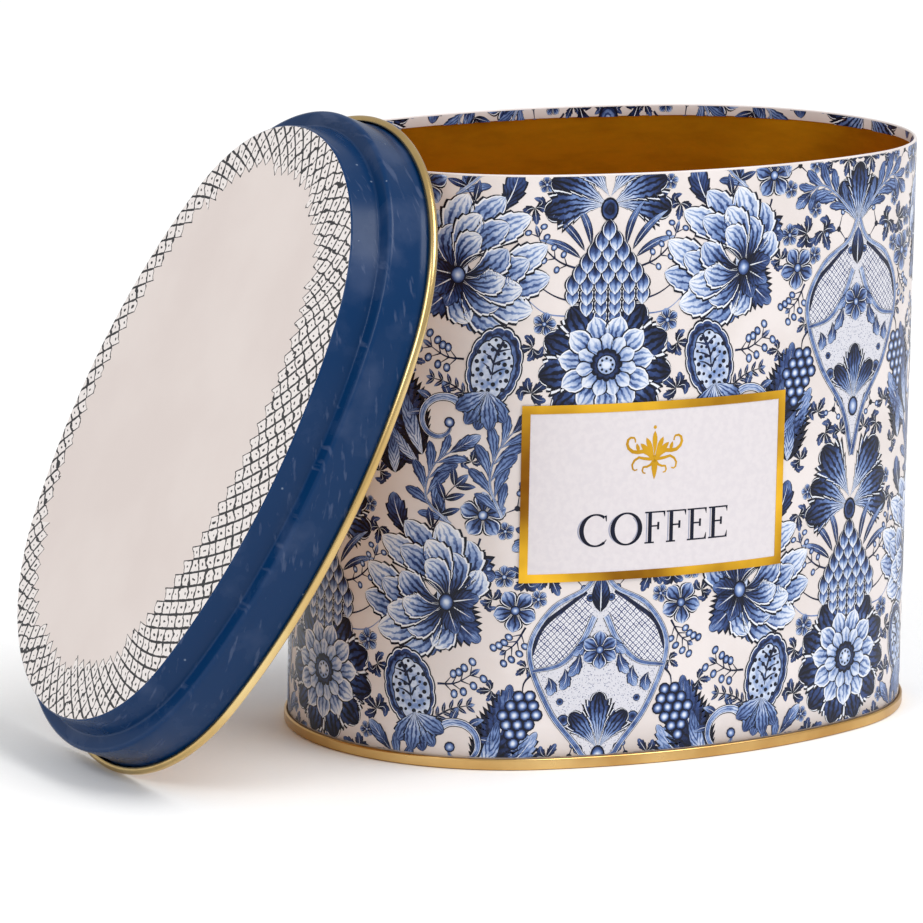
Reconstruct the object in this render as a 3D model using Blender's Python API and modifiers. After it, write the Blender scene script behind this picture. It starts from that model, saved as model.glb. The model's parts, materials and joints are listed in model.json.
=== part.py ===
"""Oval slip-lid coffee tin, standing open with its lid leaning against one end.

Four pieces, each its own object: the wall, rolled from one sheet with a lock seam and a
hemmed mouth; the base end, whose seam ring holds the wall's foot; the lid, drawn from one
sheet with a stepped crown and a curled edge; and the label on the front. Metres, +Z up,
the tin's long way along X. The whole arrangement is centred on the origin, on the floor.
"""

import math

import bmesh
import bpy
import numpy as np
from mathutils import Matrix, Vector
from mathutils.bvhtree import BVHTree

# The tin's outline: two round ends joined by two flatter sides, measured outside the wall.
TIN_HEIGHT = 0.140
HALF_LENGTH = 0.0791
HALF_WIDTH = 0.0544
SIDE_RADIUS = 0.141

# Tinplate, and the gap left between separate pieces.
BODY_SHEET = 0.00028
END_SHEET = 0.0003
LID_SHEET = 0.0003
LABEL_SHEET = 0.0002
PART_GAP = 0.0003

# The mouth's hem, folded inwards and down, and the lock seam's folded layers inside the
# wall, near the middle of its -X end but this far round towards the back.
HEM_DEPTH = 0.0028
HEM_GAP = 0.0002
LOCK_SEAM_WIDTH = 0.0044
LOCK_SEAM_DEPTH = 0.0006
LOCK_SEAM_MARGIN = 0.001
LOCK_SEAM_TURN = math.radians(17.5)

# The base end: seam ring outside, chuck wall inside, panel lifted clear of the floor.
SEAM_HEIGHT = 0.0027
SEAM_STAND = 0.0009
SEAM_CORNER = 0.0003
PANEL_LIFT = 0.003
PANEL_FILLET = 0.0008

# The lid: a skirt that slips over the wall, a ledge that lands on the rim, a raised crown.
LID_FIT = 0.0005
LEDGE_HEIGHT = 0.0121
LEDGE_WIDTH = 0.0041
CROWN_HEIGHT = 0.0066
CROWN_TAPER = 0.0016
CROWN_EDGE = 0.0007
LEDGE_EDGE = 0.0009
CURL_RADIUS = 0.0011
CURL_REACH = 0.00235
CURL_FLARE_HEIGHT = 0.0035
CURL_END_ANGLE = math.radians(480)

# The label on the front of the wall, this far along the wall from the front's middle.
LABEL_WIDTH = 0.0684
LABEL_HEIGHT = 0.0418
LABEL_BOTTOM = 0.0446
LABEL_SHIFT = -0.0179
LABEL_STEPS = 24

# How the lid leans: its top faces this far above level, turned this far towards the front,
# rolled about its own axis, with its middle this far in front of the tin's.
LID_LEAN = math.radians(21.8)
LID_TURN = math.radians(-1.1)
LID_ROLL = math.radians(-14.2)
LID_FORWARD = 0.009
LEAN_GAP = 0.0005

END_STEPS = 10
SIDE_STEPS = 4
ARC_STEPS = 2
CURL_STEPS = 8
EDGE_SAMPLES = 10

PARTS_COLLECTION = "coffee_tin"
HELPERS_COLLECTION = "helpers"


def end_radius():
    """Radius of the round ends that meets the side arcs smoothly."""
    numerator = 2 * SIDE_RADIUS * HALF_WIDTH - HALF_LENGTH**2 - HALF_WIDTH**2
    return numerator / (2 * (SIDE_RADIUS - HALF_LENGTH))


def outline(offset):
    """Points of the wall's outline grown by offset, anticlockwise from +X.

    Each point is placed by the direction of the outline's normal there, so an offset only
    moves it along that direction.
    """
    end_centre = HALF_LENGTH - end_radius()
    side_centre = SIDE_RADIUS - HALF_WIDTH
    joint = math.atan2(side_centre, end_centre)
    quarter = np.concatenate(
        [
            np.linspace(0, joint, END_STEPS, endpoint=False),
            np.linspace(joint, math.pi / 2, SIDE_STEPS, endpoint=False),
        ]
    )
    x_end = end_centre + (end_radius() + offset) * np.cos(quarter)
    y_end = (end_radius() + offset) * np.sin(quarter)
    x_side = (SIDE_RADIUS + offset) * np.cos(quarter)
    y_side = (SIDE_RADIUS + offset) * np.sin(quarter) - side_centre
    on_end = quarter < joint
    corner = np.column_stack([np.where(on_end, x_end, x_side), np.where(on_end, y_end, y_side)])
    top = np.array([[0.0, HALF_WIDTH + offset]])
    first_quarter = np.vstack([corner, top])
    second_quarter = first_quarter[-2:0:-1] * (-1, 1)
    upper_half = np.vstack([first_quarter, second_quarter])
    return np.vstack([upper_half, -upper_half])


def arc(centre, radius, start, end, steps=ARC_STEPS):
    """Points of an arc in a section, each as (offset, height), angles in radians."""
    angles = np.linspace(start, end, steps + 1)
    return [(centre[0] + radius * math.cos(a), centre[1] + radius * math.sin(a)) for a in angles]


def shell(name, section, sheet, panelled):
    """A sheet that follows section, a list of (offset, height), all round the outline.

    The sheet's middle lies on the section. With panelled, the first point's outline is
    filled with a flat panel.
    """
    mesh = bpy.data.meshes.new(name)
    model = bmesh.new()
    start = outline(section[0][0])
    ring = [model.verts.new((x, y, section[0][1])) for x, y in start]
    edges = [model.edges.new((a, b)) for a, b in zip(ring, ring[1:] + ring[:1])]
    if panelled:
        model.faces.new(ring)
    for offset, height in section[1:]:
        grown = bmesh.ops.extrude_edge_only(model, edges=edges)["geom"]
        edges = [item for item in grown if isinstance(item, bmesh.types.BMEdge) and item.is_boundary]
        ring = follow(ring, edges)
        for vert, (x, y) in zip(ring, outline(offset)):
            vert.co = (x, y, height)
    bmesh.ops.recalc_face_normals(model, faces=model.faces)
    model.to_mesh(mesh)
    model.free()
    mesh.shade_smooth()
    obj = add_part(name, mesh)
    thicken(obj, sheet)
    return obj


def follow(ring, edges):
    """The new ring's points, in the order of the old ring that they were extruded from."""
    fresh = {vert for edge in edges for vert in edge.verts}
    joined = {}
    for vert in ring:
        for edge in vert.link_edges:
            other = edge.other_vert(vert)
            if other in fresh:
                joined[vert] = other
    return [joined[vert] for vert in ring]


def thicken(obj, sheet):
    """Gives an open surface the thickness of its sheet, half to each side."""
    solid = obj.modifiers.new("sheet", "SOLIDIFY")
    solid.thickness = sheet
    solid.offset = 0
    solid.use_even_offset = True
    solid.use_quality_normals = True


def collection(name):
    """The collection of that name, made if it isn't there."""
    found = bpy.data.collections.get(name)
    if found is None:
        found = bpy.data.collections.new(name)
        bpy.context.scene.collection.children.link(found)
    return found


def add_part(name, mesh):
    """An object for a sub-part, in the parts' collection."""
    obj = bpy.data.objects.new(name, mesh)
    collection(PARTS_COLLECTION).objects.link(obj)
    return obj


def add_empty(name):
    """An empty that places the pieces parented to it."""
    empty = bpy.data.objects.new(name, None)
    empty.empty_display_size = 0.02
    collection(PARTS_COLLECTION).objects.link(empty)
    return empty


def paint(obj, name, colour, metallic, roughness):
    """Gives a piece its own Principled material."""
    material = bpy.data.materials.new(name)
    material.use_nodes = True
    shader = material.node_tree.nodes["Principled BSDF"]
    shader.inputs["Base Color"].default_value = (*colour, 1)
    shader.inputs["Metallic"].default_value = metallic
    shader.inputs["Roughness"].default_value = roughness
    obj.data.materials.append(material)


def channel_offsets():
    """Middles of the base end's two legs, which the wall's foot stands between."""
    inner = -BODY_SHEET - PART_GAP - END_SHEET / 2
    outer = SEAM_STAND - END_SHEET / 2
    return inner, outer


def make_body_wall():
    """The wall: up from the foot, over the hem's fold and down inside the mouth."""
    middle = -BODY_SHEET / 2
    fold = (BODY_SHEET + HEM_GAP) / 2
    fold_centre = (middle - fold, TIN_HEIGHT - BODY_SHEET / 2 - fold)
    foot = END_SHEET + PART_GAP
    section = [(middle, foot)]
    section += arc(fold_centre, fold, 0, math.pi, 2 * ARC_STEPS)
    section.append((middle - 2 * fold, TIN_HEIGHT - HEM_DEPTH))
    wall = shell("body_wall", section, BODY_SHEET, panelled=False)
    add_lock_seam(wall)
    paint(wall, "printed_tinplate", (0.62, 0.62, 0.66), 0.1, 0.35)
    return wall


def add_lock_seam(wall):
    """Joins the lock seam's folded layers to the inside of the wall."""
    bottom = PANEL_LIFT + END_SHEET + LOCK_SEAM_MARGIN
    top = TIN_HEIGHT - HEM_DEPTH - LOCK_SEAM_MARGIN
    bite = BODY_SHEET / 2
    radius = end_radius() - BODY_SHEET - (LOCK_SEAM_DEPTH - bite) / 2
    turn = math.pi - LOCK_SEAM_TURN
    x = end_radius() - HALF_LENGTH + radius * math.cos(turn)
    mesh = bpy.data.meshes.new("lock_seam_layers")
    model = bmesh.new()
    bmesh.ops.create_cube(model, size=1)
    bmesh.ops.scale(model, vec=(LOCK_SEAM_DEPTH + bite, LOCK_SEAM_WIDTH, top - bottom), verts=model.verts)
    bmesh.ops.rotate(model, matrix=Matrix.Rotation(turn, 3, "Z"), verts=model.verts)
    bmesh.ops.translate(model, vec=(x, radius * math.sin(turn), (top + bottom) / 2), verts=model.verts)
    model.to_mesh(mesh)
    model.free()
    layers = bpy.data.objects.new("lock_seam_layers", mesh)
    layers.hide_render = True
    layers.display_type = "WIRE"
    layers.parent = wall
    collection(HELPERS_COLLECTION).objects.link(layers)
    union = wall.modifiers.new("lock_seam", "BOOLEAN")
    union.operation = "UNION"
    union.object = layers


def make_base_end():
    """The base end: panel, fillet, chuck wall down, seam ring round the wall's foot."""
    inner, outer = channel_offsets()
    panel_height = PANEL_LIFT + END_SHEET / 2
    foot = END_SHEET / 2
    fillet_centre = (inner - PANEL_FILLET, panel_height - PANEL_FILLET)
    section = arc(fillet_centre, PANEL_FILLET, math.pi / 2, 0)
    section += arc((inner + SEAM_CORNER, foot + SEAM_CORNER), SEAM_CORNER, math.pi, 1.5 * math.pi)
    section += arc((outer - SEAM_CORNER, foot + SEAM_CORNER), SEAM_CORNER, 1.5 * math.pi, 2 * math.pi)
    section.append((outer, SEAM_HEIGHT))
    base = shell("base_end", section, END_SHEET, panelled=True)
    paint(base, "gold_lacquer", (0.72, 0.47, 0.16), 0.9, 0.3)
    return base


def make_lid():
    """The lid, on its own axis with its curled edge on the plane Z = 0."""
    skirt = LID_FIT + LID_SHEET / 2
    crown_foot = skirt - LEDGE_WIDTH
    crown_top = crown_foot - CROWN_TAPER
    ledge = LEDGE_HEIGHT - LID_SHEET / 2
    panel = LEDGE_HEIGHT + CROWN_HEIGHT - LID_SHEET / 2
    bend = CURL_RADIUS - LID_SHEET / 2
    curl_centre = (LID_FIT + LID_SHEET + CURL_REACH - CURL_RADIUS, CURL_RADIUS)
    section = arc((crown_top - CROWN_EDGE, panel - CROWN_EDGE), CROWN_EDGE, math.pi / 2, 0)
    section += arc((crown_foot + CROWN_EDGE, ledge + CROWN_EDGE), CROWN_EDGE, math.pi, 1.5 * math.pi)
    section += arc((skirt - LEDGE_EDGE, ledge - LEDGE_EDGE), LEDGE_EDGE, math.pi / 2, 0)
    section.append((skirt, CURL_FLARE_HEIGHT))
    section += arc(curl_centre, bend, math.pi, CURL_END_ANGLE, CURL_STEPS)
    lid = shell("lid", section, LID_SHEET, panelled=True)
    paint(lid, "blue_enamel", (0.02, 0.06, 0.16), 0.2, 0.3)
    return lid


def front_point(distance, offset):
    """The point this far along the wall from the front's middle, moved outwards by offset."""
    end_centre = HALF_LENGTH - end_radius()
    side_centre = SIDE_RADIUS - HALF_WIDTH
    side_turn = math.atan2(end_centre, side_centre)
    side_length = SIDE_RADIUS * side_turn
    along = abs(distance)
    if along <= side_length:
        turn = along / SIDE_RADIUS
        x = (SIDE_RADIUS + offset) * math.sin(turn)
        y = side_centre - (SIDE_RADIUS + offset) * math.cos(turn)
    else:
        turn = side_turn + (along - side_length) / end_radius()
        x = end_centre + (end_radius() + offset) * math.sin(turn)
        y = -(end_radius() + offset) * math.cos(turn)
    return math.copysign(x, distance), y


def make_front_label():
    """The label: a thin plate that follows the front's curve, just clear of the wall."""
    stand = PART_GAP + LABEL_SHEET / 2
    mesh = bpy.data.meshes.new("front_label")
    model = bmesh.new()
    bmesh.ops.create_grid(model, x_segments=LABEL_STEPS, y_segments=1, size=0.5)
    for vert in model.verts:
        x, y = front_point(LABEL_SHIFT + vert.co.x * LABEL_WIDTH, stand)
        vert.co = (x, y, LABEL_BOTTOM + (vert.co.y + 0.5) * LABEL_HEIGHT)
    model.to_mesh(mesh)
    model.free()
    mesh.shade_smooth()
    label = add_part("front_label", mesh)
    thicken(label, LABEL_SHEET)
    paint(label, "label_face", (0.76, 0.74, 0.76), 0.0, 0.4)
    return label


def lid_rotation():
    """Turns the lid's own axes to the way it leans."""
    level = math.cos(LID_LEAN)
    outward = Vector((-level * math.cos(LID_TURN), -level * math.sin(LID_TURN), math.sin(LID_LEAN)))
    upward = (Vector((0, 0, 1)) - outward.z * outward).normalized()
    along = Matrix.Rotation(LID_ROLL, 3, outward) @ upward
    across = outward.cross(along)
    return Matrix((along, across, outward)).transposed()


def surface_of(obj):
    """The piece's corners in world space and its triangles, as built."""
    bpy.context.view_layer.update()
    evaluated = obj.evaluated_get(bpy.context.evaluated_depsgraph_get())
    mesh = evaluated.to_mesh()
    mesh.calc_loop_triangles()
    points = np.empty(len(mesh.vertices) * 3, np.float32)
    mesh.vertices.foreach_get("co", points)
    triangles = [tuple(triangle.vertices) for triangle in mesh.loop_triangles]
    evaluated.to_mesh_clear()
    world = np.array(evaluated.matrix_world, np.float64)
    return points.reshape(-1, 3) @ world[:3, :3].T + world[:3, 3], triangles


def free_travel(mover, direction, obstacle):
    """How far the mover's edges can go in a direction before one of them meets the obstacle."""
    corners, triangles = surface_of(mover)
    sides = np.array([(t[i], t[i - 1]) for t in triangles for i in range(3) if t[i] < t[i - 1]])
    shares = np.linspace(0, 1, EDGE_SAMPLES, endpoint=False)[:, None, None]
    points = (corners[sides[:, 0]] * (1 - shares) + corners[sides[:, 1]] * shares).reshape(-1, 3)
    corners, triangles = surface_of(obstacle)
    tree = BVHTree.FromPolygons([Vector(corner) for corner in corners], triangles)
    hits = (tree.ray_cast(Vector(point), direction)[3] for point in points)
    return min(hit for hit in hits if hit is not None)


def lean_lid(slide, lid, wall):
    """Stands the lid on the floor and slides it along X until it leans on the wall."""
    rotation = lid_rotation()
    slide.matrix_world = rotation.to_4x4()
    lift = -surface_of(lid)[0][:, 2].min()
    clear = -2 * (2 * HALF_LENGTH + LEDGE_HEIGHT + CROWN_HEIGHT)
    slide.matrix_world = Matrix.Translation((clear, -LID_FORWARD, lift)) @ rotation.to_4x4()
    towards = Vector((1, 0, 0))
    travel = min(free_travel(lid, towards, wall), free_travel(wall, -towards, lid))
    slide.location.x += travel - LEAN_GAP


def centre_arrangement(empties, parts):
    """Moves everything level, so that the origin is under the middle of it all."""
    points = np.vstack([surface_of(part)[0] for part in parts])
    middle = (points.min(axis=0) + points.max(axis=0)) / 2
    for empty in empties:
        empty.location -= Vector((middle[0], middle[1], 0))


def main():
    for old in list(bpy.data.objects):
        bpy.data.objects.remove(old)
    wall = make_body_wall()
    base = make_base_end()
    label = make_front_label()
    lid = make_lid()
    tin = add_empty("tin_place")
    for piece in (wall, base, label):
        piece.parent = tin
    slide = add_empty("lid_slide")
    lid.parent = slide
    lean_lid(slide, lid, wall)
    centre_arrangement((tin, slide), (wall, base, label, lid))


main()
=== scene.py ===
"""Looks of an oval slip-lid coffee tin with a blue botanical print, a label and a blue lid.

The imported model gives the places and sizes. Each sub-assembly is a class that builds its own
surfaces from an oval outline or from flat motifs laid on the wall, and dresses them in
procedural finishes. Lengths are in metres, and the print is designed in millimetres.
"""

import json
import logging
import math
from collections.abc import Callable, Iterator
from dataclasses import astuple, dataclass, field, replace
from enum import Enum

import bpy
import numpy as np
from mathutils import Matrix, Vector


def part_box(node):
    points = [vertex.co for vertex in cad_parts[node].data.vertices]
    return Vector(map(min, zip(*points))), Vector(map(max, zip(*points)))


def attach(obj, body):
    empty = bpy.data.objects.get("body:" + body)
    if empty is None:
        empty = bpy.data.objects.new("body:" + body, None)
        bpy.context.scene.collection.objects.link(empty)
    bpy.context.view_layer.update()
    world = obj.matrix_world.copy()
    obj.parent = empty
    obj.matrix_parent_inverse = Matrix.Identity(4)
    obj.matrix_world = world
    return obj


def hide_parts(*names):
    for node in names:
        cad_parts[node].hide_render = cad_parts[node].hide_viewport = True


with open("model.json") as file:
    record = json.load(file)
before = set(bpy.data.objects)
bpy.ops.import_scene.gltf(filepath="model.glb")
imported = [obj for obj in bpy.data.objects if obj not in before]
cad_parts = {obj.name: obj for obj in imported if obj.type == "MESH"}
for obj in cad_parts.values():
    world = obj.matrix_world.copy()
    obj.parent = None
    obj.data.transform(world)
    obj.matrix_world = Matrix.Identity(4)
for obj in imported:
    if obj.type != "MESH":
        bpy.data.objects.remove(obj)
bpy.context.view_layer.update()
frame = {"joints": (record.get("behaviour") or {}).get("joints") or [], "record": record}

MM = 0.001
LEVEL = 0.000008  # offset between one level of print and the next
LOG = logging.getLogger("coffee_tin")


def srgb(red: int, green: int, blue: int) -> tuple[float, float, float, float]:
    """Turns a display colour of 0 to 255 a channel into a linear one with full alpha.

    Args:
        red: its red channel.
        green: its green channel.
        blue: its blue channel.

    Returns:
        The linear colour, by the power 2.4 curve above its short straight foot.
    """
    shares = [channel / 255 for channel in (red, green, blue)]
    linear = [s / 12.92 if s <= 0.04045 else ((s + 0.055) / 1.055) ** 2.4 for s in shares]
    return (*linear, 1.0)


# ---------------------------------------------------------------- outline


@dataclass(frozen=True)
class Oval:
    """Two round ends joined by two flatter side arcs, measured outside the tin's wall."""

    half_length: float = 0.0791
    half_width: float = 0.0544
    side_radius: float = 0.141

    @property
    def end_radius(self) -> float:
        """Radius of the round ends that meets the side arcs smoothly."""
        top = 2 * self.side_radius * self.half_width - self.half_length**2 - self.half_width**2
        return top / (2 * (self.side_radius - self.half_length))

    @property
    def end_centre(self) -> float:
        """Distance from the middle to each round end's centre."""
        return self.half_length - self.end_radius

    @property
    def side_centre(self) -> float:
        """Distance from the middle to each side arc's centre."""
        return self.side_radius - self.half_width

    @property
    def side_turn(self) -> float:
        """Angle that half of a side arc spans."""
        return math.atan2(self.end_centre, self.side_centre)

    @property
    def side_length(self) -> float:
        """Length of half of a side arc."""
        return self.side_radius * self.side_turn

    @property
    def end_length(self) -> float:
        """Length of half of a round end."""
        return self.end_radius * (math.pi / 2 - self.side_turn)

    @property
    def perimeter(self) -> float:
        """Length of the whole outline."""
        return 4 * (self.side_length + self.end_length)

    def at(self, along: np.ndarray, offset: np.ndarray) -> np.ndarray:
        """Points of the outline grown by offset.

        The normal's angle grows by length over radius along each arc, and a point is its
        arc's centre plus the arc's radius and the offset along that normal.

        Args:
            along: distances from the middle of the front, anticlockwise from above.
            offset: how far outside the outline each point lies.

        Returns:
            The points, with x and y in the last axis.
        """
        side, end, turn = self.side_length, self.end_length, self.side_turn
        right = math.pi / 2 - turn
        stops = np.array([-side, side, side + 2 * end, 3 * side + 2 * end, 3 * side + 4 * end])
        angles = np.array([-turn, turn, turn + 2 * right, 3 * turn + 2 * right, 3 * turn + 4 * right])
        local = np.mod(along + side, self.perimeter) - side
        normal = np.interp(local, stops, angles) - math.pi / 2
        arc = np.clip(np.searchsorted(stops, local, side="right") - 1, 0, 3)
        centre_x = np.choose(arc, [0.0, self.end_centre, 0.0, -self.end_centre])
        centre_y = np.choose(arc, [self.side_centre, 0.0, -self.side_centre, 0.0])
        radius = np.where(arc % 2 == 0, self.side_radius, self.end_radius) + offset
        return np.stack(
            [centre_x + radius * np.cos(normal), centre_y + radius * np.sin(normal)], axis=-1
        )


def arc_points(
    centre: tuple[float, float], radius: float, start: float, end: float, steps: int
) -> np.ndarray:
    """Points of an arc in a section.

    Args:
        centre: offset and height of the arc's centre.
        radius: the arc's radius.
        start: first angle, in degrees, from the outward direction towards up.
        end: last angle, in degrees.
        steps: number of spans.

    Returns:
        The points, as centre plus radius times the cosine and sine of evenly spaced angles.
    """
    angle = np.radians(np.linspace(start, end, steps + 1))
    return np.stack([centre[0] + radius * np.cos(angle), centre[1] + radius * np.sin(angle)], axis=1)


def thickened(middle: np.ndarray, sheet: float) -> tuple[np.ndarray, np.ndarray]:
    """The two faces of a sheet whose middle follows a section.

    Each point moves half the sheet's thickness along the section's normal, which is the
    tangent turned a quarter turn, with the tangent from the neighbours on both sides.

    Args:
        middle: the section's points, as offset and height.
        sheet: the sheet's thickness.

    Returns:
        The points on the right of the way the section runs, and those on its left.
    """
    tangent = np.gradient(middle, axis=0)
    tangent /= np.linalg.norm(tangent, axis=1, keepdims=True)
    normal = np.stack([tangent[:, 1], -tangent[:, 0]], axis=1)
    return middle + normal * sheet / 2, middle - normal * sheet / 2


# ---------------------------------------------------------------- meshes


def linked(name: str, data: bpy.types.ID) -> bpy.types.Object:
    """A new object in the scene.

    Args:
        name: its name.
        data: its mesh, light or camera.

    Returns:
        The object.
    """
    made = bpy.data.objects.new(name, data)
    bpy.context.scene.collection.objects.link(made)
    return made


@dataclass
class Surface:
    """A mesh in the making, as whole arrays.

    Attributes:
        points: corners in world space.
        faces: quads, with the last corner repeated where the face is a triangle.
        corner_uv: a flat pair for each corner of each face.
        material: the material slot of each face.
        colours: named colour attributes, four values for each point.
    """

    points: np.ndarray
    faces: np.ndarray
    corner_uv: np.ndarray
    material: np.ndarray
    colours: dict[str, np.ndarray] = field(default_factory=dict)

    def kept(self, wanted: np.ndarray) -> "Surface":
        """The surface with only some of its faces, and the points that they use.

        Args:
            wanted: whether to keep each face.

        Returns:
            The new surface.
        """
        used, packed = np.unique(self.faces[wanted], return_inverse=True)
        colours = {name: values[used] for name, values in self.colours.items()}
        faces = packed.reshape(-1, 4)
        return Surface(self.points[used], faces, self.corner_uv[wanted], self.material[wanted], colours)

    def to_object(
        self, name: str, finishes: list[bpy.types.Material], smooth: bool = True
    ) -> bpy.types.Object:
        """Writes the arrays into a mesh object at the origin.

        Args:
            name: the piece's name.
            finishes: materials, in the order of the faces' slots.
            smooth: whether the faces are shaded smooth.

        Returns:
            The new object, linked to the scene.
        """
        triangular = self.faces[:, 2] == self.faces[:, 3]
        sizes = np.where(triangular, 3, 4)
        kept = np.ones(self.faces.shape, bool)
        kept[triangular, 3] = False
        corners = self.faces[kept]
        mesh = bpy.data.meshes.new(name)
        mesh.vertices.add(len(self.points))
        mesh.vertices.foreach_set("co", np.ascontiguousarray(self.points, np.float32).ravel())
        mesh.loops.add(len(corners))
        mesh.loops.foreach_set("vertex_index", corners.astype(np.int32))
        mesh.polygons.add(len(sizes))
        mesh.polygons.foreach_set("loop_start", (np.cumsum(sizes) - sizes).astype(np.int32))
        mesh.polygons.foreach_set("material_index", self.material.astype(np.int32))
        mesh.update(calc_edges=True)
        layer = mesh.uv_layers.new(name="flat")
        layer.data.foreach_set("uv", self.corner_uv[kept].astype(np.float32).ravel())
        for title, values in self.colours.items():
            attribute = mesh.color_attributes.new(title, "FLOAT_COLOR", "POINT")
            attribute.data.foreach_set("color", values.astype(np.float32).ravel())
        for finish in finishes:
            mesh.materials.append(finish)
        mesh.validate()
        if smooth:
            mesh.shade_smooth()
        else:
            mesh.shade_flat()
        return linked(name, mesh)


def joined(parts: list[Surface]) -> Surface:
    """Several surfaces as one.

    Args:
        parts: the surfaces, with the same colour attributes.

    Returns:
        The whole.
    """
    starts = np.cumsum([0] + [len(part.points) for part in parts])
    return Surface(
        np.vstack([part.points for part in parts]),
        np.vstack([part.faces + start for part, start in zip(parts, starts)]),
        np.vstack([part.corner_uv for part in parts]),
        np.concatenate([part.material for part in parts]),
        {name: np.vstack([part.colours[name] for part in parts]) for name in parts[0].colours},
    )


@dataclass(frozen=True)
class Pose:
    """A place and three axes that carry local points into world space."""

    origin: tuple[float, float, float]
    axes: tuple[tuple[float, float, float], ...] = ((1, 0, 0), (0, 1, 0), (0, 0, 1))

    def place(self, points: np.ndarray) -> np.ndarray:
        """World points: the origin plus each local coordinate along its axis."""
        return points @ np.array(self.axes) + np.array(self.origin)


def sweep(oval: Oval, section: np.ndarray, pose: Pose, slots: np.ndarray, count: int = 480) -> Surface:
    """A section carried round the oval.

    A point is the outline grown by the section's offset, shrunk towards the middle by its
    scale, at the section's height. A scale of 0 closes the surface in a pole, and a section
    without poles closes on itself. The flat pair holds the distance round the outline and
    the depth inside it, both in millimetres.

    Args:
        oval: the outline.
        section: rows of scale, offset and height, running up on the outer side.
        pose: where the result stands.
        slots: the material slot of each span of the section.
        count: points round the outline.

    Returns:
        The surface.
    """
    along = np.linspace(0, oval.perimeter, count, endpoint=False)
    scale, offset, rise = section.T
    ring = oval.at(along[None, :], offset[:, None]) * scale[:, None, None]
    height = np.broadcast_to(rise[:, None, None], ring.shape[:2] + (1,))
    grid = np.concatenate([ring, height], axis=2)
    poles = scale[0] == 0
    spans = len(section) - int(poles)
    index = np.arange(len(section) * count).reshape(-1, count)
    if poles:
        index[0], index[-1] = index[0, 0], index[-1, 0]
    lower, upper = index[:spans], np.roll(index, -1, axis=0)[:spans]
    following = np.roll(np.arange(count), -1)
    faces = np.stack([lower, lower[:, following], upper[:, following], upper], axis=2).reshape(-1, 4)
    depth = -offset / MM + (1 - scale) * oval.half_width / MM
    low, high = depth[:spans, None], np.roll(depth, -1)[:spans, None]
    reach = np.append(along, oval.perimeter) / MM
    left, right = reach[None, :-1], reach[None, 1:]
    corners = np.broadcast_arrays(left, low, right, low, right, high, left, high)
    flat = np.stack(corners, axis=2).reshape(-1, 4, 2)
    start, end = faces[:, 0] == faces[:, 1], faces[:, 2] == faces[:, 3]
    faces[start] = faces[start][:, [0, 2, 3, 3]]
    flat[start] = flat[start][:, [0, 2, 3, 3]]
    faces[end] = faces[end][:, [0, 1, 2, 2]]
    used, packed = np.unique(faces, return_inverse=True)
    points = pose.place(grid.reshape(-1, 3)[used])
    return Surface(points, packed.reshape(-1, 4), flat, np.repeat(slots, count))


# ---------------------------------------------------------------- finishes


def operator(operation: str, swapped: bool = False) -> Callable[["Wire", "Wire | float"], "Wire"]:
    """A method for a sign of arithmetic, which adds a Math node.

    Args:
        operation: what the node does.
        swapped: whether the other value comes first.

    Returns:
        The method.
    """

    def apply(wire: "Wire", other: "Wire | float") -> "Wire":
        """The result of the operation on this value and another."""
        return wire.recipe.maths(operation, *((other, wire) if swapped else (wire, other)))

    return apply


@dataclass(frozen=True, eq=False)
class Wire:
    """A value that runs between a material's nodes, for use in plain arithmetic."""

    recipe: "Recipe"
    socket: bpy.types.NodeSocket

    __add__ = __radd__ = operator("ADD")
    __mul__ = __rmul__ = operator("MULTIPLY")
    __sub__, __rsub__ = operator("SUBTRACT"), operator("SUBTRACT", True)
    __gt__, __lt__ = operator("GREATER_THAN"), operator("LESS_THAN")
    __truediv__, __pow__ = operator("DIVIDE"), operator("POWER")


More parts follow.
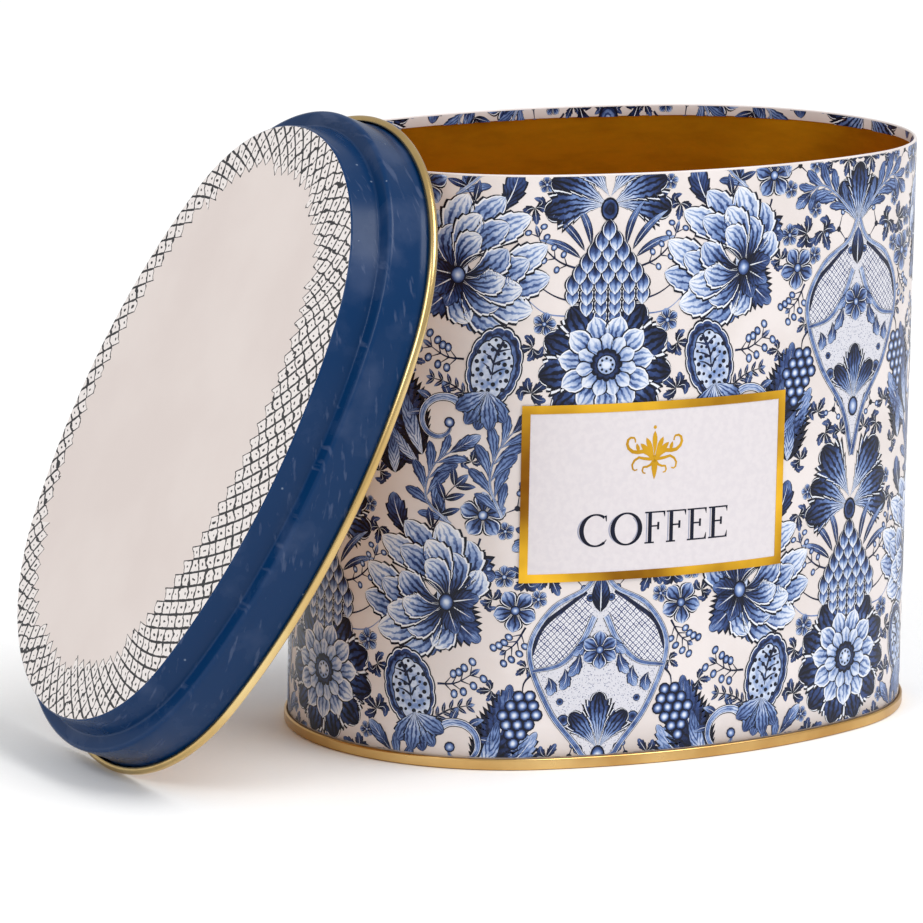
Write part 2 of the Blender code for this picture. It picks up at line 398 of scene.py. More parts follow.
class Recipe:
    """A material being put together from nodes."""

    def __init__(self, name: str) -> None:
        """Starts a material with its Principled surface.

        Args:
            name: the finish's name.
        """
        self.material = bpy.data.materials.new(name)
        self.material.use_nodes = True
        self.tree = self.material.node_tree
        self.surface = self.tree.nodes["Principled BSDF"]
        self.place = self.node("ShaderNodeTexCoord", {}, "Object")

    def feed(self, socket: bpy.types.NodeSocket, source: Wire | float | tuple) -> None:
        """Links a socket to another node's output, or sets its own value.

        Args:
            socket: the input.
            source: what it takes.
        """
        if isinstance(source, Wire):
            self.tree.links.new(source.socket, socket)
        else:
            socket.default_value = source

    def node(self, kind: str, inputs: dict, output: int | str = 0, **settings: object) -> Wire:
        """Adds a node.

        Args:
            kind: the node's type.
            inputs: what each input takes, by its name or place.
            output: the output that is wanted.
            settings: the node's own settings.

        Returns:
            The output.
        """
        node = self.tree.nodes.new(kind)
        for name, value in settings.items():
            setattr(node, name, value)
        for key, source in inputs.items():
            self.feed(node.inputs[key], source)
        return Wire(self, node.outputs[output])

    def maths(self, operation: str, *sources: Wire | float, clamp: bool = False) -> Wire:
        """The result of a Math node fed with the sources in order."""
        return self.node("ShaderNodeMath", dict(enumerate(sources)), operation=operation, use_clamp=clamp)

    def step(self, value: Wire, low: float, high: float) -> Wire:
        """A smooth step of a value.

        Args:
            value: the value.
            low: where the step is 0.
            high: where the step is 1, which may be the lesser.

        Returns:
            The step.
        """
        ends = (low, high, 0.0, 1.0) if low < high else (high, low, 1.0, 0.0)
        inputs = {"Value": value, **dict(zip(("From Min", "From Max", "To Min", "To Max"), ends))}
        return self.node("ShaderNodeMapRange", inputs, "Result", interpolation_type="SMOOTHSTEP")

    def blend(self, share: Wire, first: Wire | tuple, second: Wire | tuple) -> Wire:
        """The colour between first and second, by share."""
        return self.node("ShaderNodeMix", {0: share, 6: first, 7: second}, 2, data_type="RGBA")

    def ramp(self, share: Wire, stops: tuple[tuple[float, tuple], ...]) -> Wire:
        """The colour that a ramp gives.

        Args:
            share: how far along the ramp.
            stops: places along it, each with its colour.

        Returns:
            The colour.
        """
        colour = self.node("ShaderNodeValToRGB", {0: share})
        elements = colour.socket.node.color_ramp.elements
        while len(elements) < len(stops):
            elements.new(0.5)
        for element, stop in zip(elements, stops):
            element.position, element.color = stop
        return colour

    def parts(self, source: Wire) -> tuple[Wire, ...]:
        """The three components of a vector or colour."""
        node = self.node("ShaderNodeSeparateXYZ", {0: source}).socket.node
        return tuple(Wire(self, output) for output in node.outputs)

    def flat(self) -> tuple[Wire, Wire]:
        """The two values of the piece's own flat map."""
        return self.parts(self.node("ShaderNodeUVMap", {}, uv_map="flat"))[:2]

    def channels(self, name: str) -> tuple[Wire, ...]:
        """The four channels of a colour attribute of the piece."""
        vector = self.node("ShaderNodeAttribute", {}, "Vector", attribute_name=name)
        return (*self.parts(vector), Wire(self, vector.socket.node.outputs["Alpha"]))

    def pair(self, first: Wire, second: Wire) -> Wire:
        """A vector of two values and zero."""
        return self.node("ShaderNodeCombineXYZ", {0: first, 1: second})

    def stretched(self, scale: tuple[float, float, float]) -> Wire:
        """The place on the object multiplied by a scale along each axis."""
        return self.node("ShaderNodeMapping", {"Scale": scale, "Vector": self.place})

    def noise(self, scale: float, detail: float, source: Wire | None = None) -> Wire:
        """Smooth noise from 0 to 1 at so many grains a metre, or a unit of the source."""
        inputs = {"Scale": scale, "Detail": detail, "Vector": source or self.place}
        return self.node("ShaderNodeTexNoise", inputs, "Fac")

    def scatter(self, scale: float, source: Wire | None = None) -> Wire:
        """Distance to the nearest of scattered points, at so many a metre or a unit of the source."""
        inputs = {"Scale": scale, "Vector": source or self.place}
        return self.node("ShaderNodeTexVoronoi", inputs, "Distance")

    def bump(self, height: Wire, distance: float) -> None:
        """Raises the surface by height times distance in its shading."""
        raised = self.node("ShaderNodeBump", {"Distance": distance, "Height": height})
        self.feed(self.surface.inputs["Normal"], raised)

    def finish(self, colour: Wire, roughness: Wire | float, **constants: float) -> bpy.types.Material:
        """Sets the surface's colour, roughness and constants.

        Args:
            colour: the base colour.
            roughness: a number or a node's output.
            constants: other sockets by name, with a space written as an underscore.

        Returns:
            The finished material.
        """
        self.feed(self.surface.inputs["Base Color"], colour)
        self.feed(self.surface.inputs["Roughness"], roughness)
        for name, value in constants.items():
            self.surface.inputs[name.replace("_", " ")].default_value = value
        return self.material


VARNISH = {"Coat_Weight": 0.06, "Coat_Roughness": 0.15}


@dataclass(frozen=True)
class CreamEnamel:
    """Cream lithographed enamel with a faint mottle and a thin clear varnish."""

    name: str = "cream_enamel"
    light: tuple = srgb(230, 222, 220)
    dark: tuple = srgb(222, 213, 210)
    roughness: float = 0.36
    ripple: float = 0.000012

    def make(self) -> bpy.types.Material:
        """Builds the material: two creams mixed by soft noise, with a fine varnish ripple.

        Returns:
            The material.
        """
        recipe = Recipe(self.name)
        mottle = recipe.step(recipe.noise(60, 3), 0.35, 0.65)
        grain = recipe.noise(2600, 2)
        recipe.bump(grain, self.ripple)
        colour = recipe.blend(mottle, self.light, self.dark)
        return recipe.finish(colour, grain * 0.12 + self.roughness, **VARNISH, Specular_IOR_Level=0.3)


@dataclass(frozen=True)
class PrintInk:
    """Blue printing ink whose tone, engraved lines, outline and veins follow each motif.

    Attributes:
        name: the finish's name.
        roughness: the varnished ink's roughness.
        most_lines: engraved lines where a motif's share of them is 1.
        lean: how far lines that lean off the midrib run along it.
        engraving: how much an engraved line darkens the tone.
        stops: the ink's colour by tone.
    """

    name: str = "print_ink"
    roughness: float = 0.32
    most_lines: float = 32.0
    lean: float = 2.6
    engraving: float = 0.75
    stops: tuple = (
        (0.0, srgb(238, 239, 244)),
        (0.2, srgb(206, 216, 234)),
        (0.42, srgb(116, 142, 192)),
        (0.62, srgb(46, 68, 120)),
        (0.82, srgb(17, 26, 56)),
        (1.0, srgb(6, 9, 22)),
    )

    def make(self) -> bpy.types.Material:
        """Builds the material.

        Across a motif the distance from its middle is 0 at the midrib and 1 at the edge. The
        tone runs from the root's to the tip's, engraved lines darken it, then a white inner
        edge, a dark outline and a white midrib are laid over it.

        Returns:
            The material.
        """
        recipe = Recipe(self.name)
        length, width = recipe.flat()
        root, tip, hatch, rim = recipe.channels("ink")
        lines, slant, spine, halo = recipe.channels("cut")
        side = width * 2.0 - 1.0
        edge = recipe.maths("ABSOLUTE", side)
        across = side * (1.0 - slant) + (length * self.lean - edge) * slant
        phase = across * (lines * self.most_lines) * math.pi + recipe.noise(900, 1) * 5.0
        wave = recipe.step(recipe.maths("SINE", phase), -0.2, 0.9)
        engraved = wave * hatch * (1.0 - length * 0.6) * self.engraving
        wash = recipe.noise(520, 3) * 0.5 - 0.25
        tone = recipe.maths("ADD", root + length * (tip - root) + engraved, wash, clamp=True)
        in_halo = (edge > 1.0 - rim - halo) * (halo > 0.001)
        in_spine = edge < spine * (1.0 - length)
        in_rim = edge > 1.0 - rim
        tone = tone * (1.0 - in_halo * 0.93) * (1.0 - in_spine * 0.9)
        tone = recipe.maths("MAXIMUM", tone, in_rim * 0.96)
        colour = recipe.ramp(tone, self.stops)
        return recipe.finish(colour, self.roughness, **VARNISH, Specular_IOR_Level=0.22)


@dataclass(frozen=True)
class StippleField:
    """A pale grey-blue ground scattered with fine dark dots."""

    name: str = "stipple_field"
    ground: tuple = srgb(214, 214, 222)
    dot: tuple = srgb(70, 84, 128)
    roughness: float = 0.32

    def make(self) -> bpy.types.Material:
        """Builds the material: a dot wherever a scattered point is near, in the flat map.

        Returns:
            The material.
        """
        recipe = Recipe(self.name)
        spot = recipe.pair(*recipe.flat())
        near = recipe.step(recipe.scatter(2.6, spot), 0.34, 0.2)
        some = recipe.step(recipe.noise(1.2, 1, spot), 0.35, 0.55)
        colour = recipe.blend(near * some, self.ground, self.dot)
        return recipe.finish(colour, self.roughness, **VARNISH, Specular_IOR_Level=0.22)


class LatticeUse(Enum):
    """Where a drawn lattice goes, with its ground, line and cell sizes in millimetres."""

    PRINT = ((226, 226, 232), (52, 66, 112), 1.5, 1.5)
    LID = ((230, 223, 220), (22, 22, 28), 4.8, 4.9)


@dataclass(frozen=True)
class Lattice:
    """A hand-drawn lattice of slanting lines with a dot in each cell.

    Attributes:
        use: where it goes.
        oval: the outline that it follows on the lid.
        edge_depth: where the lid's lattice starts inside the outline, in millimetres.
        blank_depth: mean depth of the blank middle's border.
        blank_shift: how much deeper that border is on one side.
        light: the blank middle's lighter cream.
        dark: its darker cream.
        grain: height of the blank middle's grain.
    """

    use: LatticeUse
    oval: Oval = Oval()
    edge_depth: float = 5.3
    blank_depth: float = 16.3
    blank_shift: float = 5.3
    light: tuple = srgb(220, 209, 204)
    dark: tuple = srgb(215, 203, 198)
    grain: float = 0.00002

    def make(self) -> bpy.types.Material:
        """Builds the material.

        Two families of lines run where the sum and the difference of the scaled flat
        coordinates are whole numbers, with a wobble. On the lid a cell is drawn only while
        its centre lies nearer the edge than the blank middle's border, which is deeper on
        one side than on the other, so the border steps from cell to cell.

        Returns:
            The material.
        """
        ground, ink, pitch, depth_pitch = self.use.value
        recipe = Recipe("lattice_" + self.use.name.lower())
        run, depth = recipe.flat()
        spot = recipe.pair(run, depth)
        round_way = self.oval.perimeter / MM
        if self.use is LatticeUse.LID:
            pitch = round_way / round(round_way / pitch)
        wobble = recipe.noise(0.33, 2, spot) * 0.5 - 0.25
        across, down = run / pitch + wobble, depth / depth_pitch - wobble
        rising, falling = across + down, across - down
        gaps = [recipe.maths("ABSOLUTE", recipe.maths("FRACT", line) - 0.5) for line in (rising, falling)]
        strength = recipe.noise(0.55, 1, spot)
        line = recipe.maths("MAXIMUM", *gaps) > 0.485 - strength * 0.15
        dot = recipe.maths("SQRT", gaps[0] ** 2.0 + gaps[1] ** 2.0) < strength * 0.2
        share = recipe.maths("MAXIMUM", line, dot)
        if self.use is LatticeUse.PRINT:
            colour = recipe.blend(share, srgb(*ground), srgb(*ink))
            return recipe.finish(colour, 0.4, **VARNISH, Specular_IOR_Level=0.22)
        cell = recipe.maths("FLOOR", rising) - recipe.maths("FLOOR", falling)
        border = recipe.maths("COSINE", run * (2 * math.pi / round_way)) * self.blank_shift + self.blank_depth
        drawn = cell * (depth_pitch / 2) < border
        mottle = recipe.step(recipe.noise(40, 3), 0.3, 0.7)
        paper = recipe.blend(drawn, recipe.blend(mottle, self.light, self.dark), srgb(*ground))
        recipe.bump(recipe.noise(1800, 3), self.grain)
        colour = recipe.blend(share * drawn * (depth > self.edge_depth), paper, srgb(*ink))
        return recipe.finish(colour, 0.42, Coat_Weight=0.1, Coat_Roughness=0.25)


@dataclass(frozen=True)
class BlueEnamel:
    """Deep blue enamel with cloudy scuffs, fine scratches and a few pale specks."""

    name: str = "blue_enamel"
    deep: tuple = srgb(5, 46, 88)
    worn: tuple = srgb(104, 116, 146)
    speck: tuple = srgb(150, 165, 186)
    roughness: float = 0.26
    relief: float = 0.000015

    def make(self) -> bpy.types.Material:
        """Builds the material: scuffs where two noises meet, scratches along stretched noise.

        Returns:
            The material.
        """
        recipe = Recipe(self.name)
        cloud = recipe.step(recipe.noise(70, 6), 0.48, 0.74)
        scratch = recipe.step(recipe.noise(90, 4, recipe.stretched((9, 0.7, 2.2))), 0.6, 0.72)
        scuff = cloud * 0.2 + scratch * 0.26
        specks = recipe.step(recipe.scatter(150), 0.05, 0.03) * 0.5
        colour = recipe.blend(specks, recipe.blend(scuff, self.deep, self.worn), self.speck)
        recipe.bump(recipe.noise(1500, 3) + scratch * 2.0, self.relief)
        rough = scuff * 0.6 + self.roughness
        return recipe.finish(colour, rough, Coat_Weight=0.22, Coat_Roughness=0.2, Specular_IOR_Level=0.06)


class GoldUse(Enum):
    """Where gold goes, with its light and dark colours, roughness and grain stretch."""

    INSIDE = ((244, 182, 32), (202, 138, 18), 0.28, (60, 60, 220))
    SEAM = ((222, 186, 122), (184, 140, 78), 0.2, (40, 40, 40))
    CURL = ((224, 198, 140), (198, 166, 106), 0.16, (40, 40, 40))
    FOIL = ((255, 200, 58), (122, 74, 20), 0.2, (30, 30, 30))


@dataclass(frozen=True)
class Gold:
    """Gold lacquer over tinplate, or gold foil, with a fine grain."""

    use: GoldUse
    relief: float = 0.00001

    def make(self) -> bpy.types.Material:
        """Builds the material: two golds mixed by grain that the stretch draws out in lines.

        Returns:
            The material.
        """
        light, dark, rough, stretch = self.use.value
        recipe = Recipe("gold_" + self.use.name.lower())
        grain = recipe.noise(1.0, 4, recipe.stretched(stretch))
        share = recipe.step(grain * 0.6 + recipe.noise(26, 3) * 0.4, 0.34, 0.66)
        recipe.bump(grain, self.relief)
        colour = recipe.blend(share, srgb(*light), srgb(*dark))
        return recipe.finish(colour, grain * 0.2 + rough, Metallic=1.0)


@dataclass(frozen=True)
class FlatInk:
    """A single printed ink with a faint mottle of its own."""

    name: str
    light: tuple
    dark: tuple
    roughness: float = 0.36

    def make(self) -> bpy.types.Material:
        """Builds the material: two close tones mixed by fine noise.

        Returns:
            The material.
        """
        recipe = Recipe(self.name)
        mottle = recipe.step(recipe.noise(700, 3), 0.35, 0.65)
        colour = recipe.blend(mottle, self.light, self.dark)
        return recipe.finish(colour, mottle * 0.08 + self.roughness, Specular_IOR_Level=0.2)


# ---------------------------------------------------------------- print motifs

Spot = tuple[float, float]


class Layer(Enum):
    """Which printed piece a motif belongs to."""

    LEAF = "print_leaves"
    BLOOM = "print_blooms"
    PEONY = "print_peonies"
    LINE = "print_lines"
    STIPPLE = "print_stipple"
    LATTICE = "print_lattice"
    SPRIG = "print_sprigs"


@dataclass(frozen=True)
class Tone:
    """How a motif is inked.

    Attributes:
        root: tone at the root or middle, from 0 cream to 1 navy.
        tip: tone at the tip or edge.
        hatch: strength of the engraved lines.
        rim: share of the half width that the dark outline takes.
        lines: how many engraved lines, as a share of the most.
        slant: 0 for lines along the motif, 1 for lines leaning off the midrib.
        spine: share of the half width that a white midrib takes.
        halo: share of the half width that a white inner edge takes.
    """

    root: float
    tip: float
    hatch: float = 0.0
    rim: float = 0.0
    lines: float = 0.12
    slant: float = 0.0
    spine: float = 0.0
    halo: float = 0.0


LEAF = Tone(0.8, 0.3, 0.35, 0.16, 0.16, 1.0, 0.09)
DARK_LEAF = Tone(0.95, 0.5, 0.3, 0.14, 0.16, 1.0, 0.1)
PALE_LEAF = Tone(0.1, 0.6, 0.5, 0.1, 0.14, 1)
PETAL = Tone(0.85, 0.02, 0.5, 0.13, 0.13, halo=0.12)
STEM = Tone(0.85, 0.85)
PALE_STEM = Tone(0.5, 0.4)
SCROLL = Tone(0.3, 0.55, 0.3, 0.2, 0.1, halo=0.14)
BERRY = Tone(0.1, 0.8, rim=0.2)
DOT = Tone(0.95, 0.95)


@dataclass
class Motif:
    """One printed shape: a grid of points in millimetres with its own flat map.

    Attributes:
        grid: points, first along and then across the shape.
        flat: the flat map of the same points.
        tone: how it is inked.
        level: how high it lies among overlapping shapes.
        layer: the printed piece it belongs to.
        mirrored: whether a mirror twin is printed too.
        round: whether the across direction closes on itself.
    """

    grid: np.ndarray
    flat: np.ndarray
    tone: Tone
    level: int
    layer: Layer
    mirrored: bool = True
    round: bool = False

    def surface(self) -> Surface:
        """The shape as a flat surface that faces up.

        Returns:
            The surface, with the level as third value and the tone in two colour attributes.
        """
        rows, columns = self.grid.shape[:2]
        here = np.arange(rows * columns).reshape(rows, columns)
        beside = np.roll(here, -1, axis=1)
        if not self.round:
            here, beside = here[:, :-1], beside[:, :-1]
        faces = np.stack([here[:-1], here[1:], beside[1:], beside[:-1]], axis=2).reshape(-1, 4)
        points, flat = self.grid.reshape(-1, 2), self.flat.reshape(-1, 2)
        corner = points[faces]
        first, second = (corner[:, 2] - corner[:, 0]).T, (corner[:, 3] - corner[:, 1]).T
        if (first[0] * second[1] - first[1] * second[0]).sum() < 0:
            faces = faces[:, ::-1]
        ink = np.tile(astuple(self.tone), (len(points), 1))
        points = np.column_stack([points, np.full(len(points), float(self.level))])
        colours = {"ink": ink[:, :4], "cut": ink[:, 4:]}
        return Surface(points, faces, flat[faces], np.zeros(len(faces), int), colours)


def smooth_path(stops: list[Spot], steps: int) -> np.ndarray:
    """A smooth curve through the stops.

    Between two stops it is the cubic whose tangent at each stop is half the chord between
    that stop's neighbours.

    Args:
        stops: the points on the way.
        steps: how many points the curve has.

    Returns:
        The curve's points.
    """
    stop = np.array(stops, float)
    ghost = np.vstack([2 * stop[0] - stop[1], stop, 2 * stop[-1] - stop[-2]])
    place = np.linspace(0, len(stop) - 1, steps)
    span = np.minimum(place.astype(int), len(stop) - 2)
    t = (place - span)[:, None]
    a, b, c, d = (ghost[span + shift] for shift in range(4))
    return b + t * ((c - a) / 2 + t * (a - 2.5 * b + 2 * c - d / 2 + t * (1.5 * (b - c) + (d - a) / 2)))


def polar(centre: Spot, radius: float, angle: float) -> Spot:
    """The point at a radius and an angle in degrees from a centre."""
    turn = math.radians(angle)
    return centre[0] + radius * math.cos(turn), centre[1] + radius * math.sin(turn)


def turning(angle: float) -> np.ndarray:
    """The matrix that turns rows of points anticlockwise by an angle in degrees."""
    cosine, sine = math.cos(math.radians(angle)), math.sin(math.radians(angle))
    return np.array([[cosine, sine], [-sine, cosine]])


def steps_along(path: np.ndarray, last: int) -> Iterator[tuple[int, Spot, float]]:
    """Walks the inner points of a path.

    Args:
        path: the points.
        last: number of the last point to visit.

    Yields:
        Each point's number, its place, and the heading between its neighbours in degrees.
    """
    for i in range(1, last + 1):
        run = path[min(i + 1, len(path) - 1)] - path[i - 1]
        yield i, tuple(path[i]), math.degrees(math.atan2(run[1], run[0]))


@dataclass
class Sketch:
    """Flat motifs in millimetres, drawn one after another.

    The drawing methods share some arguments: level is how high a shape lies among those that
    it overlaps, layer is the printed piece it belongs to, and mirrored is whether a mirror
    twin is printed too.
    """

    motifs: list[Motif] = field(default_factory=list)

    def strip(self, path: np.ndarray, across: np.ndarray, ahead: np.ndarray | float, *kind: object) -> None:
        """Adds a shape along a path, with each point moved along the path's normal and tangent.

        Args:
            path: the midline.
            across: how far each point moves to the left.
            ahead: how far it moves forwards.
            kind: the motif's tone, level, layer and mirrored.
        """
        tangent = np.gradient(path, axis=0)
        tangent /= np.linalg.norm(tangent, axis=1, keepdims=True)
        normal = np.stack([-tangent[:, 1], tangent[:, 0]], axis=1)
        grid = path[:, None] + normal[:, None] * across[..., None]
        grid = grid + tangent[:, None] * (ahead * np.ones_like(across))[..., None]
        share = np.meshgrid(*(np.linspace(0, 1, size) for size in across.shape), indexing="ij")
        self.motifs.append(Motif(grid, np.stack(share, axis=2), *kind))

    def blade(self, base: Spot, tip: Spot, width: float, tone: Tone, level: int, bend: float = 0.0,
              peak: float = 0.45, teeth: int = 0, bite: float = 0.0, layer: Layer = Layer.LEAF,
              mirrored: bool = True) -> None:
        """Adds a petal or leaf.

        Its midline runs from base to tip and bows sideways by bend times 4u(1-u). Its half
        width is the sine of pi times u to a power that puts the widest place at peak. Teeth
        push the edge outwards and towards the tip in saw waves.

        Args:
            base: where it starts.
            tip: where it ends.
            width: its greatest width.
            tone: how it is inked.
            bend: how far its midline bows to the left.
            peak: share of the length where it is widest.
            teeth: how many teeth each edge has.
            bite: their height, as a share of the half width.
        """
        start, run = np.array(base, float), np.subtract(tip, base).astype(float)
        length = float(np.hypot(*run))
        rows, columns = max(9, int(length / 1.1), 4 * teeth + 1), 7 if width > 3 else 5
        u, v = np.linspace(0, 1, rows)[:, None], np.linspace(-1, 1, columns)
        aside = np.array([-run[1], run[0]]) / length
        path = start + u * run + 4 * u * (1 - u) * bend * aside
        power = math.log(0.5) / math.log(peak)
        half = width / 2 * np.sin(np.pi * u**power) ** 0.8
        saw = bite * np.mod(u * teeth, 1.0) * np.abs(v) ** 3
        self.strip(path, v * half * (1 + saw), 0.9 * saw * half, tone, level, layer, mirrored)

    def ribbon(self, stops: list[Spot], width: float, tone: Tone, level: int, taper: Spot = (1.0, 0.25),
               layer: Layer = Layer.LINE, mirrored: bool = True, steps: int = 0) -> None:
        """Adds a stroke along a smooth path, whose width runs evenly from one taper share to the other.

        Args:
            stops: points on the path.
            width: the full width.
            tone: how it is inked.
            taper: shares of the width at the start and the end.
            steps: points on the path, or 0 for one every 0.9 mm.
        """
        chord = np.linalg.norm(np.diff(np.array(stops, float), axis=0), axis=1).sum()
        path = smooth_path(stops, steps or max(7, int(chord / 0.9)))
        half = width / 2 * np.linspace(*taper, len(path))[:, None]
        self.strip(path, half * np.linspace(-1, 1, 3), 0.0, tone, level, layer, mirrored)

    def disc(self, centre: Spot, radius: Spot | float, tone: Tone, level: int, turn: float = 0.0,
             lobes: int = 0, depth: float = 0.0, layer: Layer = Layer.BLOOM, mirrored: bool = True) -> None:
        """Adds a round or lobed shape.

        The edge's distance is 1 less depth times the fall of a cosine to the power 0.6 that
        peaks at each lobe. The flat map runs from the middle to the edge.

        Args:
            centre: its middle.
            radius: its radius, or its radii along two ways.
            tone: how it is inked.
            turn: how far it is turned, in degrees.
            lobes: how many lobes the edge has.
            depth: depth between the lobes, as a share of the radius.
        """
        radii = np.broadcast_to(radius, 2)
        angle = np.linspace(0, 2 * np.pi, max(10, int(2 * math.pi * radii.max()), lobes * 6), endpoint=False)
        share = np.linspace(0, 1, max(3, int(radii.max() / 1.1) + 2))[:, None]
        reach = share * (1 - depth * (1 - np.abs(np.cos(angle * lobes / 2)) ** 0.6))
        local = np.stack([radii[0] * reach * np.cos(angle), radii[1] * reach * np.sin(angle)], axis=2)
        across = np.broadcast_to(0.5 + share / 2, reach.shape)
        flat = np.stack([2 * across - 1, across], axis=2)
        grid = local @ turning(turn) + np.array(centre, float)
        self.motifs.append(Motif(grid, flat, tone, level, layer, mirrored, True))

    def panel(self, left: list[Spot], right: list[Spot], layer: Layer, level: int) -> None:
        """Adds a field between two smooth curves, mapped flat in millimetres.

        Args:
            left: stops of the first curve.
            right: stops of the second.
        """
        first, second = (smooth_path(stops, 24)[:, None] for stops in (left, right))
        share = np.linspace(0, 1, 14)[None, :, None]
        grid = first * (1 - share) + second * share
        self.motifs.append(Motif(grid, grid.copy(), DOT, level, layer))

    def rosette(self, centre: Spot, radius: float, petals: int, level: int) -> None:
        """Adds a many-petalled flower with an inner ring, a seed disc and stamens.

        Args:
            centre: its middle.
            radius: its reach.
            petals: petals in each ring.
        """
        span = 2 * math.pi * radius / petals
        rings = (
            (1.0, 0.92, 0.0, 9, Tone(0.1, 0.9, 0.65, 0.1, 0.16, halo=0.1)),
            (0.72, 0.66, 0.5, 0, PETAL),
            (0.46, 0.44, 0.0, 0, Tone(0.5, 0.1, 0.3, 0.2, 0.08)),
        )
        for ring, (reach, width, turn, teeth, tone) in enumerate(rings):
            for i in range(petals):
                angle = 90 + 360 * (i + turn) / petals
                near, far = polar(centre, radius * 0.1, angle), polar(centre, radius * reach, angle)
                self.blade(near, far, span * width, tone, level + 2 * ring + i % 2, 0, 0.68, teeth, 0.3,
                           Layer.BLOOM, False)
        seed = radius * 0.24
        self.disc(centre, seed, Tone(0.4, 0.9, 0.3, 0.16, 0.2), level + 6, 0, 12, 0.14, mirrored=False)
        self.disc(centre, seed * 0.62, Tone(0.05, 0.4, 0.2, 0.12, 0.1), level + 7, mirrored=False)
        for i in range(8):
            self.disc(polar(centre, seed * 0.38, 45 * i), 0.32, DOT, level + 8, mirrored=False)

    def peony(self, centre: Spot, radius: float, facing: float, level: int) -> None:
        """Adds a cupped flower seen from its side: feathered petals that overlap towards its middle.

        Args:
            centre: its middle.
            radius: half its reach.
            facing: the way it opens, in degrees.
        """
        base = polar(centre, radius * 0.8, facing + 180)
        rows = (
            (104, 1.0, 0.62), (78, 1.4, 0.72), (54, 1.7, 0.72), (30, 1.9, 0.66), (10, 1.95, 0.6),
            (64, 1.05, 0.6), (40, 1.35, 0.62), (16, 1.5, 0.6), (30, 0.95, 0.56), (0, 1.15, 0.6),
        )
        for i, (spread, reach, width) in enumerate(rows):
            tone = Tone(0.98, 0.02 + 0.14 * (i % 2), 0.6, 0.12, 0.15, halo=0.1)
            for side in (-1, 1) if spread else (1,):
                tip = polar(base, radius * reach, facing + side * spread)
                self.blade(base, tip, radius * width, tone, level + i // 2, side * radius * 0.16, 0.7,
                           max(4, int(radius * 0.7)), 0.22, Layer.PEONY)
        for spread in (-140, -180, 140):
            tip = polar(base, radius * 0.7, facing + spread)
            self.blade(base, tip, radius * 0.42, DARK_LEAF, level + 5, 0, 0.5, 5, 0.4, Layer.PEONY)
        self.disc(base, (radius * 0.17, radius * 0.2), BERRY, level + 6, layer=Layer.PEONY)

    def serrated(self, base: Spot, tip: Spot, width: float, level: int, bend: float = 0.0,
                 tone: Tone = DARK_LEAF) -> None:
        """Adds a spiky leaf with a paler heart.

        Args:
            base: where it starts.
            tip: where it ends.
            width: its greatest width.
            bend: how far its midline bows to the left.
            tone: how its outer part is inked.
        """
        inner = tuple(np.array(base) * 0.36 + np.array(tip) * 0.64)
        self.blade(base, tip, width, tone, level, bend, 0.42, max(5, int(math.dist(base, tip) / 1.5)), 0.62)
        self.blade(base, inner, width * 0.42, PALE_LEAF, level + 1, bend * 0.5, 0.5)

    def pod(self, centre: Spot, size: Spot, turn: float, level: int) -> None:
        """Adds a spotted seed pod: hooded rim, stippled face with veins, and a frilled calyx.

        Args:
            centre: its middle.
            size: half its width and half its height.
            turn: how far it is turned, in degrees.
        """

        def place(x: float, y: float) -> Spot:
            """The spot at shares of the pod's size from its middle."""
            return tuple(np.array([x * size[0], y * size[1]]) @ turning(turn) + np.array(centre))

        face = (size[0] * 0.74, size[1] * 0.78)
        self.disc(centre, size, Tone(0.1, 0.7, 0.6, 0.05, 0.3, halo=0.03), level, turn, 14, 0.05)
        self.disc(place(0.06, -0.06), face, Tone(0.3, 0.24, 0.2, 0.05, 0.1), level + 1, turn, 9, 0.07)
        for i in range(34):
            spot = polar((0.06, -0.06), 0.14 + 0.56 * math.sqrt(i / 34), i * 137.5)
            self.disc(place(*spot), 0.4 + 0.14 * (i % 2), DOT, level + 2)
        self.ribbon([place(-0.1, 0.62), place(0.05, 0.2), place(-0.02, -0.3)], 0.8, STEM, level + 3)
        for side in (-1, 1):
            for low, high in ((0.35, 0.5), (0.05, 0.25), (-0.2, 0.02)):
                stops = [place(0.02, low), place(side * 0.22, high - 0.06), place(side * 0.42, high)]
                self.ribbon(stops, 0.6, STEM, level + 3)
        frill = Tone(0.2, 0.6, 0.5, 0.14, 0.12)
        for i, angle in enumerate((-150, -115, -65, -30, -90)):
            tip = polar(place(0, -0.86), size[0] * 1.05, angle + turn)
            self.blade(place(0, -0.6), tip, size[0] * 0.62, frill, level + 4 + i % 2, 0, 0.6, 5, 0.3)

    def cone(self, top: Spot, rows: int, pitch: float, level: int) -> None:
        """Adds a cone of overlapping pointed scales, widest below its middle.

        Args:
            top: middle of its first row.
            rows: how many rows it has.
            pitch: distance between scales.
        """
        scale = Tone(0.02, 1.0, 0.3, 0.2, 0.08, halo=0.1)
        for row in range(rows):
            count = 1 + min(row, 5, 2 * (rows - row) - 1)
            z = top[1] - row * pitch * 0.72
            for i in range(count):
                x = top[0] + (i - (count - 1) / 2) * pitch * 0.98
                self.blade((x, z - pitch * 0.85), (x, z + pitch * 0.62), pitch * 1.15, scale,
                           level + rows - row, peak=0.5, layer=Layer.BLOOM, mirrored=False)

